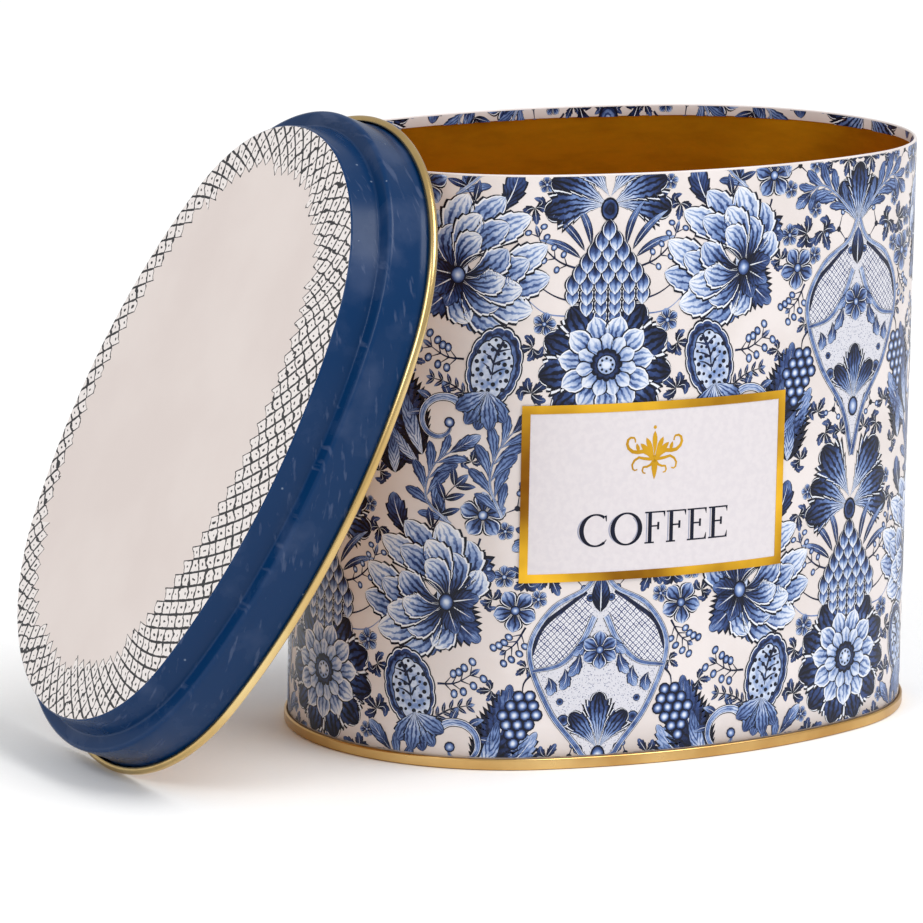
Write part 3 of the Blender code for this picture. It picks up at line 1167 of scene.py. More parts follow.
    def spray(self, stops: list[Spot], pairs: int, leaf: float, level: int, berries: bool = False) -> None:
        """Adds a thin stem with small leaves, or berries on short stalks, in pairs.

        Args:
            stops: points on the stem.
            pairs: how many pairs of leaves it bears, less one.
            leaf: a leaf's length.
            berries: whether it bears berries.
        """
        path = smooth_path(stops, pairs + 3)
        self.ribbon(stops, 0.55, STEM, level)
        for _, root, heading in steps_along(path, pairs + 1):
            for side in (-1, 1):
                tip = polar(root, leaf, heading + side * 48)
                if berries:
                    self.ribbon([root, tip], 0.35, STEM, level)
                    self.disc(tip, (leaf * 0.28, leaf * 0.36), BERRY, level + 1, heading)
                else:
                    self.blade(root, tip, leaf * 0.36, DARK_LEAF, level + 1)
        self.blade(tuple(path[-2]), tuple(path[-1]), leaf * 0.4, LEAF, level + 1)

    def scroll(self, centre: Spot, radius: float, start: float, arc: float, level: int) -> None:
        """Adds a C-scroll: a stroke along a spiral that closes in, with leaflets along its outside.

        Args:
            centre: the spiral's middle.
            radius: its reach at the start.
            start: its first angle, in degrees.
            arc: how far it turns, in degrees.
        """

        def along(t: float) -> Spot:
            """The spiral's point at a share of its way."""
            return polar(centre, radius * (1 - 0.72 * t**1.2), start + arc * t)

        width, stops = 2.4, [along(i / 9) for i in range(10)]
        self.ribbon(stops, width, SCROLL, level + 2, (1.0, 0.3), Layer.LEAF, steps=36)
        for t in (0.02, 0.14, 0.26, 0.38):
            lean = start + arc * t + math.copysign(38, arc)
            self.blade(along(t), polar(along(t), radius * 0.62, lean), radius * 0.3, LEAF, level + 1, 0.3)
        self.disc(along(1.0), width * 0.55, BERRY, level + 3)

    def plume(self, stops: list[Spot], lobes: int, reach: float, level: int) -> None:
        """Adds a feathery leaf: lobes that curl off both sides of a stem, longest in the middle.

        Args:
            stops: points on the stem.
            lobes: pairs of lobes.
            reach: length of the longest lobe.
        """
        path = smooth_path(stops, lobes + 2)
        tone = Tone(0.35, 0.55, 0.45, 0.15, 0.1)
        for i, root, heading in steps_along(path, lobes):
            grown = reach * (0.55 + 0.45 * math.sin(math.pi * i / (lobes + 1)))
            for side in (-1, 1):
                tip, bend = polar(root, grown, heading + side * 52), -side * grown * 0.12
                self.blade(tuple(path[i - 1]), tip, grown * 0.42, tone, level + i % 2, bend, 0.68, 4, 0.3)
        tip = tuple(2 * path[-1] - path[-2])
        self.blade(tuple(path[-2]), tip, reach * 0.5, LEAF, level + 2, 0, 0.6, 4, 0.25)
        self.ribbon(stops, 0.9, SCROLL, level + 3)

    def cluster(self, top: Spot, rows: tuple[int, ...], size: float, lean: float, level: int) -> None:
        """Adds a bunch of round berries in rows.

        Args:
            top: middle of the first row.
            rows: berries in each row.
            size: a berry's radius.
            lean: how far each row shifts to the right of the one above.
        """
        for row, count in enumerate(rows):
            for i in range(count):
                x = top[0] + (i - (count - 1) / 2) * size * 1.7 + row * lean
                z = top[1] - row * size * 1.45
                self.disc((x, z), size, Tone(0.0, 0.95, rim=0.2), level + (row + i) % 3)

    def star_flower(self, centre: Spot, radius: float, petals: int, level: int, mirrored: bool = True,
                    start: float = 90.0) -> None:
        """Adds a small open flower with an eye.

        Args:
            centre: its middle.
            radius: its reach.
            petals: how many petals it has.
            start: its first petal's way, in degrees.
        """
        tone = Tone(0.9, 0.25, 0.5, 0.16, 0.1, halo=0.1)
        for i in range(petals):
            tip = polar(centre, radius, start + 360 * i / petals)
            self.blade(centre, tip, radius * 0.85, tone, level + i % 2, 0, 0.66, 0, 0, Layer.BLOOM, mirrored)
        self.disc(centre, radius * 0.24, BERRY, level + 3, mirrored=mirrored)

    def fan(self, base: Spot, reach: float, angles: tuple[float, ...], width: float, level: int,
            teeth: int = 7) -> None:
        """Adds fringed leaves that spread from one point.

        Args:
            base: that point.
            reach: their length.
            angles: the ways they run, in degrees.
            width: their width.
            teeth: teeth along each edge.
        """
        tone = Tone(0.02, 0.9, 0.75, 0.1, 0.17, halo=0.06)
        for i, angle in enumerate(angles):
            self.blade(base, polar(base, reach, angle), width, tone, level + i % 2 + int(angle == 90),
                       (90 - angle) * 0.012, 0.7, teeth, 0.5, mirrored=False)

    def bloom_group(self) -> None:
        """Adds the motifs round a big flower: a cone above it, cupped flowers, pods and leaves beside it."""
        self.rosette((0, 95.5), 16.5, 11, 4)
        self.cone((0, 127.5), 9, 3.5, 4)
        self.fan((0, 132.5), 15.5, (-6, 24, 156, 186), 7.5, 2)
        self.fan((0, 134.5), 17.0, (52, 128), 8.5, 4)
        self.disc((0, 131.8), (2.2, 2.8), Tone(0.9, 0.5, 0.3, 0.2), 8, mirrored=False)
        for angle, length in ((62, 11), (40, 12.5), (18, 11)):
            self.blade(polar((2, 119), 5, angle), polar((2, 119), 5 + length, angle + 4), 1.9, LEAF, 3, 1.0)
        self.spray([(7, 118), (12, 120), (16, 124), (17.5, 128.5)], 3, 2.6, 3, True)
        self.ribbon([(6, 110), (13, 112), (20, 117)], 0.55, STEM, 2)
        self.ribbon([(7, 107), (15, 108), (21, 113)], 0.4, PALE_STEM, 2)
        self.serrated((33, 119), (43.5, 107.5), 8.5, 3, -1.0)
        self.serrated((32, 116), (31.5, 103.5), 7.5, 2, 0.5)
        self.serrated((36, 124), (46.5, 122.5), 8.0, 2, 1.0)
        self.peony((27.5, 121), 11.2, 150, 5)
        self.spray([(29, 131), (33, 136), (35, 142), (40, 147)], 3, 5.0, 3)
        self.blade((26, 131), (21.5, 141.5), 4.8, DARK_LEAF, 3, 0.8, 0.6, 5, 0.35)
        self.star_flower((43.5, 137.5), 5.6, 5, 3)
        self.spray([(43, 132), (42, 127.5), (44, 123.5)], 2, 2.4, 2, True)
        self.pod((26.5, 95.5), (6.6, 10.0), 14, 8)
        self.spray([(33.5, 97), (38, 97.5), (43.5, 101)], 3, 3.2, 3, True)
        self.spray([(32, 88), (36.5, 91), (42.5, 92.5)], 4, 2.6, 3)
        self.scroll((38.5, 82), 6.6, 150, -330, 3)
        self.serrated((43, 74), (50.5, 97.5), 9.5, 3, -1.5)
        self.serrated((44, 72), (57, 86), 7.0, 2, -1.0, LEAF)
        self.plume([(24, 60), (27, 68), (25, 76), (19, 83)], 5, 6.5, 3)
        self.plume([(36, 58), (42, 64), (40, 72), (33, 77)], 5, 6.0, 2)

    def shield_group(self) -> None:
        """Adds the motifs of a stippled shield: its frame, lattice wings, a flower, berries and plumes."""
        edge = [(0, 49), (3.5, 43), (12, 38), (17, 28), (12, 14), (4, 3), (0, -9)]
        inner = [(1.5, 36), (4.5, 30), (9.5, 25), (16.2, 23.5)]
        outer = [(3.5, 42), (8.5, 38.5), (14.0, 34), (16.8, 27.5)]
        self.panel([(0, stop[1]) for stop in edge], edge, Layer.STIPPLE, 1)
        self.ribbon(edge, 1.7, SCROLL, 5, (0.7, 1.0), steps=48)
        self.panel(inner, outer, Layer.LATTICE, 2)
        self.ribbon(inner, 2.0, SCROLL, 6, (1.0, 0.5), Layer.LEAF)
        self.ribbon(outer, 1.4, STEM, 4, (0.6, 1.0))
        feathers = ((2.4, 32, -50, 6.5), (5.0, 27.5, -65, 6.0), (8.5, 24, -80, 5.2), (12.5, 22, -92, 4.4))
        for x, z, angle, reach in feathers:
            self.blade((x, z), polar((x, z), reach, angle), 2.6, LEAF, 7, -0.8, 0.6, 4, 0.35)
        self.star_flower((0, 28), 4.6, 6, 8, False)
        self.fan((0, 4), 11.5, (52, 128), 5.0, 5, 6)
        self.fan((0, 4), 14, (90,), 5.6, 6, 7)
        self.disc((0, 2.8), (1.8, 2.4), BERRY, 9, mirrored=False)
        self.blade((0, 37), (0, 46), 4.5, DARK_LEAF, 7, mirrored=False)
        for x, z, size in ((8.6, 11.5, 1.5), (4.9, 4.4, 1.2), (9.5, 16.0, 0.9), (2.6, 40.5, 1.0)):
            self.disc((x, z), size, Tone(0.95, 0.35, rim=0.2), 3)
        self.fan((0, 46), 13, (58, 122), 6.5, 3, 6)
        self.fan((0, 46), 15.5, (90,), 7.5, 4, 8)
        self.plume([(3, 50), (9, 55), (14, 57), (19, 54)], 5, 6.0, 3)
        self.cluster((18, 17.5), (2, 3, 4, 3, 2, 1), 1.55, 0.5, 5)
        self.ribbon([(15, 24), (18, 21), (18.5, 18)], 0.7, STEM, 3)
        self.star_flower((20.5, 38.0), 5.2, 5, 3, start=60)
        self.spray([(18, 34), (20.5, 30), (24, 27.5)], 3, 3.0, 2, True)
        self.serrated((22, -8), (20.5, 6.5), 8.0, 2)
        self.blade((8, 62), (6, 72), 4.2, DARK_LEAF, 3, 0.5, 0.6, 5, 0.3)
        self.spray([(12, 64), (15, 69), (14, 75)], 3, 3.0, 2)
        self.disc((0, 65.5), (2.6, 3.4), Tone(0.2, 0.8, 0.4, 0.16, 0.16), 4, mirrored=False)
        self.star_flower((0, 71), 4.0, 3, 4, False)

    def sprigs(self, half: float, drop: float, pitch: float = 5.4) -> None:
        """Adds small leaves, florets and berries wherever the motifs so far leave bare ground.

        Spots stand on a grid whose rows are shifted by turns. A spot is used if it is further
        than a set gap from every point of the motifs, of their repeats and of the neighbours'
        mirror images, and what is put there grows with that gap.

        Args:
            half: half the distance between mirror axes.
            drop: how far the neighbours are lowered.
            pitch: distance between spots.
        """
        own = np.vstack([motif.grid.reshape(-1, 2) for motif in self.motifs])
        across = own * (-1, 1) + (2 * half, 0)
        repeats = [own + (0, 2 * drop * k) for k in (-1, 0, 1)]
        repeats += [across + (0, drop * k) for k in (-3, -1, 1, 3)]
        taken = np.vstack(repeats)
        taken = taken[(taken[:, 0] > -8) & (taken[:, 0] < half + 8)]
        small = Sketch()
        for number in range(int(half / pitch) * int(2 * drop / pitch)):
            row, column = divmod(number, int(half / pitch))
            spot = (1.6 + (column + 0.5 * (row % 2)) * pitch, -8 + row * pitch)
            gap = float(np.sqrt(((taken - spot) ** 2).sum(axis=1).min()))
            if gap < 0.9:
                continue
            reach, turn, kind = min(5.2, gap + 1.9), number * 137.5, number % 4
            if kind == 0:
                small.star_flower(spot, reach * 0.72, 5, 0, start=turn)
            elif kind == 1:
                for lean in (0, 120, 240):
                    tip = polar(spot, reach * 0.8, turn + lean)
                    small.ribbon([spot, tip], 0.4, STEM, 0)
                    small.disc(tip, 0.8, BERRY, 1)
                small.disc(spot, 0.7, DOT, 1)
            else:
                for lean, share in ((0, 1.0), (62, 0.8), (-62, 0.8), (180, 0.6)):
                    tip = polar(spot, reach * share, turn + lean)
                    small.blade(spot, tip, reach * 0.42, DARK_LEAF, 0, lean * 0.01, 0.5, 4, 0.5)
        self.motifs += [replace(motif, layer=Layer.SPRIG) for motif in small.motifs]


@dataclass
class BotanicalPrint:
    """A mirrored half-drop repeat of the motif groups, laid on the wall in thin layers.

    Attributes:
        oval: the wall's outline.
        pose: the tin's place.
        first_axis: where the first mirror axis stands from the front's middle.
        repeats: mirror axes round the tin.
        drop: how far every second axis is lowered; the repeat's height is twice that.
        low: lowest printed height.
        high: highest printed height.
        clearance: offset of the lowest layer from the wall.
        folded: whether this is the stretch of sheet that the hem turns down inside the mouth.
        hem_depth: how deep the hem's inner face lies inside the outline.
        least_area: faces smaller than this, in square metres, have shrunk away.
    """

    oval: Oval
    pose: Pose
    first_axis: float = -0.0322
    repeats: int = 6
    drop: float = 77.0
    low: float = 2.9
    high: float = 139.55
    clearance: float = 0.00002
    folded: bool = False
    hem_depth: float = 0.00076
    least_area: float = 1e-10

    def on_wall(self, points: np.ndarray) -> np.ndarray:
        """World points from distances along the wall, heights and levels.

        Args:
            points: rows of those three, in millimetres and levels.

        Returns:
            The points, whose height is held between low and high.
        """
        along, height, level = points.T
        offset = self.clearance + LEVEL * level
        rise = np.clip(height, self.low, self.high) * MM
        if self.folded:
            offset, rise = -self.hem_depth - offset, 2 * self.low * MM - rise
        return self.pose.place(np.column_stack([self.oval.at(along * MM, offset), rise]))

    def lay(self, cells: list[tuple[Surface, tuple[int, ...]]]) -> Surface | None:
        """Repeats flat cells round the wall and trims them at the foot and the mouth.

        Args:
            cells: motifs, with 1 and -1 where their mirror image is printed too, or 1 alone.

        Returns:
            The surface on the wall, or nothing where no motif reaches the printed height. Each
            point goes to its axis plus or less its x, and faces that have shrunk away are left out.
        """
        parts = []
        for number in range(self.repeats):
            axis = self.first_axis / MM + number * self.oval.perimeter / MM / self.repeats
            for rows_up in (0, 2, -2):
                lift = (rows_up - number % 2) * self.drop
                for cell, sign in ((cell, sign) for cell, signs in cells for sign in signs):
                    height = cell.points[cell.faces, 1] + lift
                    inside = (height.max(axis=1) > self.low) & (height.min(axis=1) < self.high)
                    if not inside.any():
                        continue
                    part = cell.kept(inside)
                    if sign < 0:
                        part.faces, part.corner_uv = part.faces[:, ::-1], part.corner_uv[:, ::-1]
                    part.points = self.on_wall(part.points * (sign, 1, 1) + (axis, lift, 0))
                    parts.append(part)
        if not parts:
            return None
        whole = joined(parts)
        corner = whole.points[whole.faces]
        area = np.linalg.norm(np.cross(corner[:, 2] - corner[:, 0], corner[:, 3] - corner[:, 1]), axis=1)
        return whole.kept(area > self.least_area)

    def build(self) -> list[bpy.types.Object]:
        """Builds one printed piece for each layer.

        Returns:
            The pieces.
        """
        sketch = Sketch()
        sketch.bloom_group()
        sketch.shield_group()
        sketch.sprigs(self.oval.perimeter / MM / self.repeats / 2, self.drop)
        ink = PrintInk().make()
        finishes = {Layer.STIPPLE: StippleField().make(), Layer.LATTICE: Lattice(LatticeUse.PRINT).make()}
        pieces = []
        for layer in Layer:
            cells = []
            for mirrored, signs in ((False, (1,)), (True, (1, -1))):
                chosen = [m.surface() for m in sketch.motifs if m.layer is layer and m.mirrored is mirrored]
                if chosen:
                    cells.append((joined(chosen), signs))
            surface = self.lay(cells)
            if surface is not None:
                name = layer.value + ("_hem" if self.folded else "")
                pieces.append(surface.to_object(name, [finishes.get(layer, ink)]))
        return pieces


# ---------------------------------------------------------------- tin


def bars(sections: np.ndarray, closed: bool) -> Surface:
    """A bar through a row of sections.

    Args:
        sections: corners of each section, an even number, anticlockwise from the bar's start.
        closed: whether the last section joins the first; otherwise the ends are capped.

    Returns:
        The surface, closed either way.
    """
    count, corners = sections.shape[:2]
    index = np.arange(count * corners).reshape(count, corners)
    spans = count if closed else count - 1
    here, onward = index[:spans], np.roll(index, -1, axis=0)[:spans]
    sides = [here, onward, np.roll(onward, -1, axis=1), np.roll(here, -1, axis=1)]
    faces = np.stack(sides, axis=2).reshape(-1, 4)
    if not closed:
        near, far = np.arange(corners // 2), np.arange(corners // 2, corners)[::-1]
        cap = np.stack([near[:-1], near[1:], far[1:], far[:-1]], axis=1)
        faces = np.vstack([faces, index[0][cap], index[-1][cap][:, ::-1]])
    return Surface(sections.reshape(-1, 3), faces, np.zeros((len(faces), 4, 2)), np.zeros(len(faces), int))


def rows_of(*columns: np.ndarray | float) -> np.ndarray:
    """Rows of a section from its columns, where a number fills its whole column."""
    return np.column_stack(np.broadcast_arrays(*columns))


@dataclass
class Tin:
    """The tin's body: hemmed wall, base end with its seam ring, and the printed enamel.

    Attributes:
        oval: the wall's outline.
        pose: the tin's place on the floor.
        height: height of the rim.
        sheet: thickness of the wall's sheet.
        hem_gap: gap inside the hem's fold.
        hem_depth: how far the hem reaches down inside.
        foot: height of the wall's foot in the seam.
        seam_turn: how far the lock seam lies past the left end, in degrees.
        seam_half: half the lock seam's width.
        seam_rise: how far it stands out of the wall.
        seam_sink: how far its back is sunk into the wall.
        seam_low: height of its lower end above the foot.
        seam_gap: how far it ends under the hem.
    """

    oval: Oval
    pose: Pose
    height: float
    sheet: float = 0.00028
    hem_gap: float = 0.0002
    hem_depth: float = 0.0028
    foot: float = 0.0006
    seam_turn: float = 17.5
    seam_half: float = 0.0022
    seam_rise: float = 0.0006
    seam_sink: float = 0.00004
    seam_low: float = 0.004
    seam_gap: float = 0.001

    def wall(self) -> bpy.types.Object:
        """Builds the wall as one closed sheet, cream outside and gold inside.

        The section runs up the outside, round the fold on a half circle, down the hem's inner
        face, back out under it, and down the wall's inner face.

        Returns:
            The piece.
        """
        outer = self.sheet + self.hem_gap / 2
        shoulder = self.height - outer
        low = self.height - self.hem_depth
        outside = rows_of(0.0, np.linspace(self.foot, shoulder, 15))
        over = arc_points((-outer, shoulder), outer, 0, 180, 12)[1:]
        lip = arc_points((self.sheet / 2 - 2 * outer, low + self.sheet / 2), self.sheet / 2, 180, 360, 6)
        gap = rows_of([-self.sheet - self.hem_gap, -self.sheet], shoulder)
        inside = rows_of(-self.sheet, np.linspace(low, self.foot, 15))
        section = np.vstack([outside, over, lip, gap, inside])
        cream = len(outside) + len(over) + len(lip) - 1
        slots = (np.arange(len(section)) >= cream).astype(int)
        surface = sweep(self.oval, rows_of(1.0, *section.T), self.pose, slots)
        return surface.to_object("wall_sheet", [CreamEnamel().make(), Gold(GoldUse.INSIDE).make()])

    def lock_seam(self) -> bpy.types.Object:
        """Builds the lock seam's folded layers, a low bead down the inside of the wall.

        The bead's height is 1 less the sixth power of the distance from its middle.

        Returns:
            The piece.
        """
        quarters = 3 * (self.oval.side_length + self.oval.end_length)
        along = quarters - self.oval.end_radius * math.radians(self.seam_turn)
        across = np.linspace(-self.seam_half, self.seam_half, 9)
        bead = self.seam_rise * (1 - (np.abs(across) / self.seam_half) ** 6)
        offset = np.r_[-self.sheet - bead, np.full(9, self.seam_sink - self.sheet)]
        ground = self.oval.at(along + np.r_[across, across[::-1]], offset)
        top = self.height - self.hem_depth - self.seam_gap
        heights = np.linspace(self.foot + self.seam_low, top, 30)
        columns = np.broadcast_arrays(ground[None, :, 0], ground[None, :, 1], heights[:, None])
        surface = bars(self.pose.place(np.stack(columns, axis=2)), False)
        return surface.to_object("lock_seam_inside", [Gold(GoldUse.INSIDE).make()])

    def base(self) -> bpy.types.Object:
        """Builds the base end: lifted panel, chuck wall and the rounded seam ring.

        Returns:
            The piece.
        """
        under = arc_points((-0.0017, 0.0022), 0.0008, 90, 0, 6)
        inner = arc_points((-0.0004, 0.0004), 0.0004, 180, 270, 5)
        outer = arc_points((0.00042, 0.00045), 0.00045, 270, 360, 6)
        face = [[0.00087, 0.0009], [0.0009, 0.0014], [0.00087, 0.0019]]
        top = arc_points((0.00048, 0.00224), 0.00042, 0, 130, 8)
        channel = [[0.00007, 0.0022], [0.00007, 0.00045], [-0.00035, 0.00045], [-0.00035, 0.0026]]
        fillet = arc_points((-0.00105, 0.0026), 0.0007, 0, 90, 6)
        edge = np.vstack([under, inner, outer, face, top, channel, fillet])
        shares = np.array([0.0, 0.3, 0.6, 0.85, 0.97])
        below, above = (rows_of(shares, *edge[end]) for end in (0, -1))
        section = np.vstack([below, rows_of(1.0, *edge.T), above[::-1]])
        gold = len(below) + len(edge) - len(fillet) - 2
        slots = (np.arange(len(section) - 1) >= gold).astype(int)
        surface = sweep(self.oval, section, self.pose, slots)
        return surface.to_object("base_seam", [Gold(GoldUse.SEAM).make(), Gold(GoldUse.INSIDE).make()])

    def build(self) -> list[bpy.types.Object]:
        """Builds the tin's metal and its print, and puts each piece on its body.

        Returns:
            The pieces.
        """
        wall, base, seam = self.wall(), self.base(), self.lock_seam()
        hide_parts("body_wall")
        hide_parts("base_end")
        printed = BotanicalPrint(self.oval, self.pose).build()
        folded = BotanicalPrint(self.oval, self.pose, low=139.65, high=142.2, folded=True).build()
        pieces = [wall, base, seam, *printed, *folded]
        for piece in pieces:
            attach(piece, "tin")
        return pieces


@dataclass
class Label:
    """The label on the front: a pale plate in a gold foil frame, with a palmette and a word.

    Attributes:
        oval: the wall's outline.
        pose: the tin's place.
        width: the plate's width along the wall.
        height: the plate's height.
        bottom: height of its lower edge.
        shift: where its middle stands from the front's middle.
        frame_width: width of the gold frame.
        plate_back: offset of the plate's back from the wall.
        plate_face: offset of its face.
        frame_back: offset of the frame's back.
        frame_face: offset of its face.
        print_face: offset of the lettering and the palmette.
        capital: height of the word's capitals, in millimetres.
        baseline: height of the word above the plate's lower edge, in millimetres.
        margin: the word's distance from the plate's left edge, in millimetres.
    """

    oval: Oval
    pose: Pose
    width: float = 0.0684
    height: float = 0.0418
    bottom: float = 0.0446
    shift: float = -0.0179
    frame_width: float = 0.0020
    plate_back: float = 0.00024
    plate_face: float = 0.00032
    frame_back: float = 0.00026
    frame_face: float = 0.00040
    print_face: float = 0.00034
    capital: float = 7.5
    baseline: float = 8.2
    margin: float = 14.2

    def spot(self, across: np.ndarray, up: np.ndarray, offset: np.ndarray) -> np.ndarray:
        """World points on the plate.

        Args:
            across: distances from its lower left corner along the wall.
            up: distances above that corner.
            offset: offsets from the wall.

        Returns:
            The points.
        """
        across, up, offset = np.broadcast_arrays(across, up, offset)
        ground = self.oval.at(self.shift - self.width / 2 + across, offset)
        return self.pose.place(np.concatenate([ground, (self.bottom + up)[..., None]], axis=-1))

    def plate(self) -> bpy.types.Object:
        """Builds the pale plate, a thin slab that follows the wall.

        Returns:
            The piece.
        """
        up = np.array([0.0, 0.0, self.height, self.height])
        offset = np.array([self.plate_back, self.plate_face, self.plate_face, self.plate_back])
        sections = self.spot(np.linspace(0, self.width, 60)[:, None], up, offset)
        finish = FlatInk("label_card", srgb(222, 216, 219), srgb(217, 211, 215))
        return bars(sections, False).to_object("label_plate", [finish.make()], smooth=False)

    def frame(self) -> bpy.types.Object:
        """Builds the gold frame, a flat mitred band round the plate's edge.

        Returns:
            The piece.
        """
        share = np.linspace(0, 1, 60, endpoint=False)
        zero, one = np.zeros(60), np.ones(60)
        x = np.concatenate([share, one, 1 - share, zero])
        y = np.concatenate([zero, share, one, 1 - share])
        inset = np.array([0, 0, self.frame_width, self.frame_width])
        offset = np.array([self.frame_back, self.frame_face, self.frame_face, self.frame_back])
        across, up = (
            inset + share[:, None] * (side - 2 * inset) for share, side in ((x, self.width), (y, self.height))
        )
        surface = bars(self.spot(across, up, offset), True)
        return surface.to_object("label_frame", [Gold(GoldUse.FOIL).make()], smooth=False)

    def bowl(self, sketch: Sketch, centre: Spot, radius: Spot, ends: Spot, gain: float, thin: float) -> None:
        """Adds a round letter's stroke, thick at its left and right and thin at its top and foot.

        Half its width is thin plus gain times the cosine of the angle to the power 1.6.

        Args:
            sketch: the drawing that takes it.
            centre: the letter's middle.
            radius: the stroke's radii across and up.
            ends: first and last angle, in degrees.
            gain: how much the stroke swells.
            thin: half its least width.
        """
        angle = np.radians(np.linspace(*ends, 48))[:, None]
        half = np.array([-1.0, 1.0]) * (thin + gain * np.abs(np.cos(angle)) ** 1.6)
        ways = zip(centre, radius, (np.cos(angle), np.sin(angle)))
        grid = np.stack([middle + (reach + half) * way for middle, reach, way in ways], axis=2)
        sketch.motifs.append(Motif(grid, np.zeros_like(grid), DOT, 1, Layer.LINE))

    def letter(self, kind: str, x: float, ink: Sketch, shade: Sketch) -> None:
        """Adds one capital's strokes.

        Args:
            kind: the capital, one of those in the label's word.
            x: its left edge.
            ink: takes the dark strokes.
            shade: takes the pale companion lines.
        """
        top, foot = self.baseline + self.capital, self.baseline
        middle = (top + foot) / 2
        stem = x + 1.35
        if kind in "CO":
            centre = x + 3.9
            self.bowl(ink, (centre, middle), (3.45, 3.72), (52, 308) if kind == "C" else (0, 360), 0.36, 0.2)
            self.bowl(shade, (centre - 0.55, middle), (3.75, 3.5), (115, 245), 0.03, 0.14)
        else:
            shade.ribbon([(stem - 0.85, foot + 0.2), (stem - 0.85, top - 0.2)], 0.28, DOT, 1, (1, 1))
        if kind == "O":
            self.bowl(shade, (centre - 0.5, middle), (3.3, 3.4), (-50, 50), 0.03, 0.1)
            strokes = []
        elif kind == "C":
            strokes = [
                (x + 6.35, top - 0.3, x + 6.5, top - 1.7, 0.5, 0.4),
                (x + 6.0, foot + 0.75, x + 6.6, foot + 1.5, 0.34, 0.4),
            ]
        else:
            strokes = [
                (stem, foot, stem, top, 0.95, 1),
                (stem - 1.3, top - 0.15, stem + 3.5, top - 0.15, 0.36, 1),
                (stem + 3.6, top, stem + 3.75, top - 1.35, 0.62, 0.15),
                (stem, middle + 0.3, stem + 2.1, middle + 0.3, 0.36, 1),
                (stem + 2.1, middle - 0.6, stem + 2.15, middle + 1.2, 0.55, 1),
                (stem - 1.3, foot + 0.15, stem + (3.5 if kind == "E" else 1.1), foot + 0.15, 0.36, 1),
            ]
        if kind == "E":
            strokes.append((stem + 3.5, foot, stem + 3.8, foot + 1.6, 0.66, 0.15))
        for left, low, right, high, width, thin in strokes:
            ink.ribbon([(left, low), (right, high)], width, DOT, 1, (1, thin))

    def lettering(self) -> list[bpy.types.Object]:
        """Builds the generic word for what the tin holds, in dark serif capitals.

        Returns:
            The letters, and the pale lines beside their strokes.
        """
        ink, shade = Sketch(), Sketch()
        x = self.margin
        for kind, advance in zip("COFFEE", (7.6, 8.5, 5.5, 5.5, 5.75, 5.75)):
            self.letter(kind, x, ink, shade)
            x += advance
        navy = FlatInk("navy_ink", srgb(8, 12, 32), srgb(14, 20, 44))
        grey = FlatInk("grey_ink", srgb(150, 154, 176), srgb(164, 166, 186))
        return [
            self.lay(ink, self.print_face, "label_word", navy.make()),
            self.lay(shade, self.print_face - 0.00001, "label_word_shade", grey.make()),
        ]

    def ornament(self) -> bpy.types.Object:
        """Builds a small gold palmette: a fan of slim petals over paired scrolls and a drop.

        Returns:
            The piece.
        """
        x, z = self.width / MM / 2 - 1.8, 28.5
        sketch = Sketch()
        for angle, reach in ((90, 6.4), (66, 5.312), (114, 5.312), (44, 5.048), (136, 5.048)):
            sketch.blade((x, z), polar((x, z), reach, angle), 1.25, DOT, 2, 0, 0.66)
        scrolls = (
            (0.95, (1.2, 0.35), (0.6, 0.3), (2.6, 1.6), (5.2, 1.5), (6.9, 3.0), (6.6, 4.8), (5.2, 4.9),
             (4.9, 3.8)),
            (0.75, (1.1, 0.4), (0.4, -0.3), (2.2, -0.2), (4.2, 0.2), (5.6, -1.2), (5.3, -2.7), (4.3, -2.6)),
            (0.6, (1.1, 0.5), (0.3, -0.8), (1.4, -2.0), (2.8, -2.1), (3.0, -3.3), (2.2, -3.6)),
        )
        for side in (-1, 1):
            for width, taper, *stops in scrolls:
                sketch.ribbon([(x + side * right, z + up) for right, up in stops], width, DOT, 1, taper)
            sketch.blade((x + side * 4.0, z + 1.6), (x + side * 4.6, z + 3.6), 0.9, DOT, 1)
        sketch.blade((x, z - 0.2), (x, z - 5.2), 1.5, DOT, 2, 0, 0.35)
        sketch.disc((x, z - 0.2), 0.8, DOT, 2, layer=Layer.LINE)
        sketch.disc((x, z + 7.2), 0.42, DOT, 2, layer=Layer.LINE)
        return self.lay(sketch, self.print_face, "label_palmette", Gold(GoldUse.FOIL).make())

    def lay(self, sketch: Sketch, offset: float, name: str, finish: bpy.types.Material) -> bpy.types.Object:
        """Lays flat shapes on the plate, one level above another.

        Args:
            sketch: the shapes.
            offset: offset of level 0 from the wall.
            name: the piece's name.
            finish: its material.

        Returns:
            The piece.
        """
        surface = joined([motif.surface() for motif in sketch.motifs])
        across, up, level = surface.points.T
        surface.points = self.spot(across * MM, up * MM, offset + level * LEVEL)
        surface.colours = {}
        return surface.to_object(name, [finish])

    def build(self) -> list[bpy.types.Object]:
        """Builds the label's pieces and puts them on the tin.

        Returns:
            The pieces.
        """
        plate = self.plate()
        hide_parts("front_label")
        pieces = [plate, self.frame(), *self.lettering(), self.ornament()]
        for piece in pieces:
            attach(piece, "tin")
        return pieces


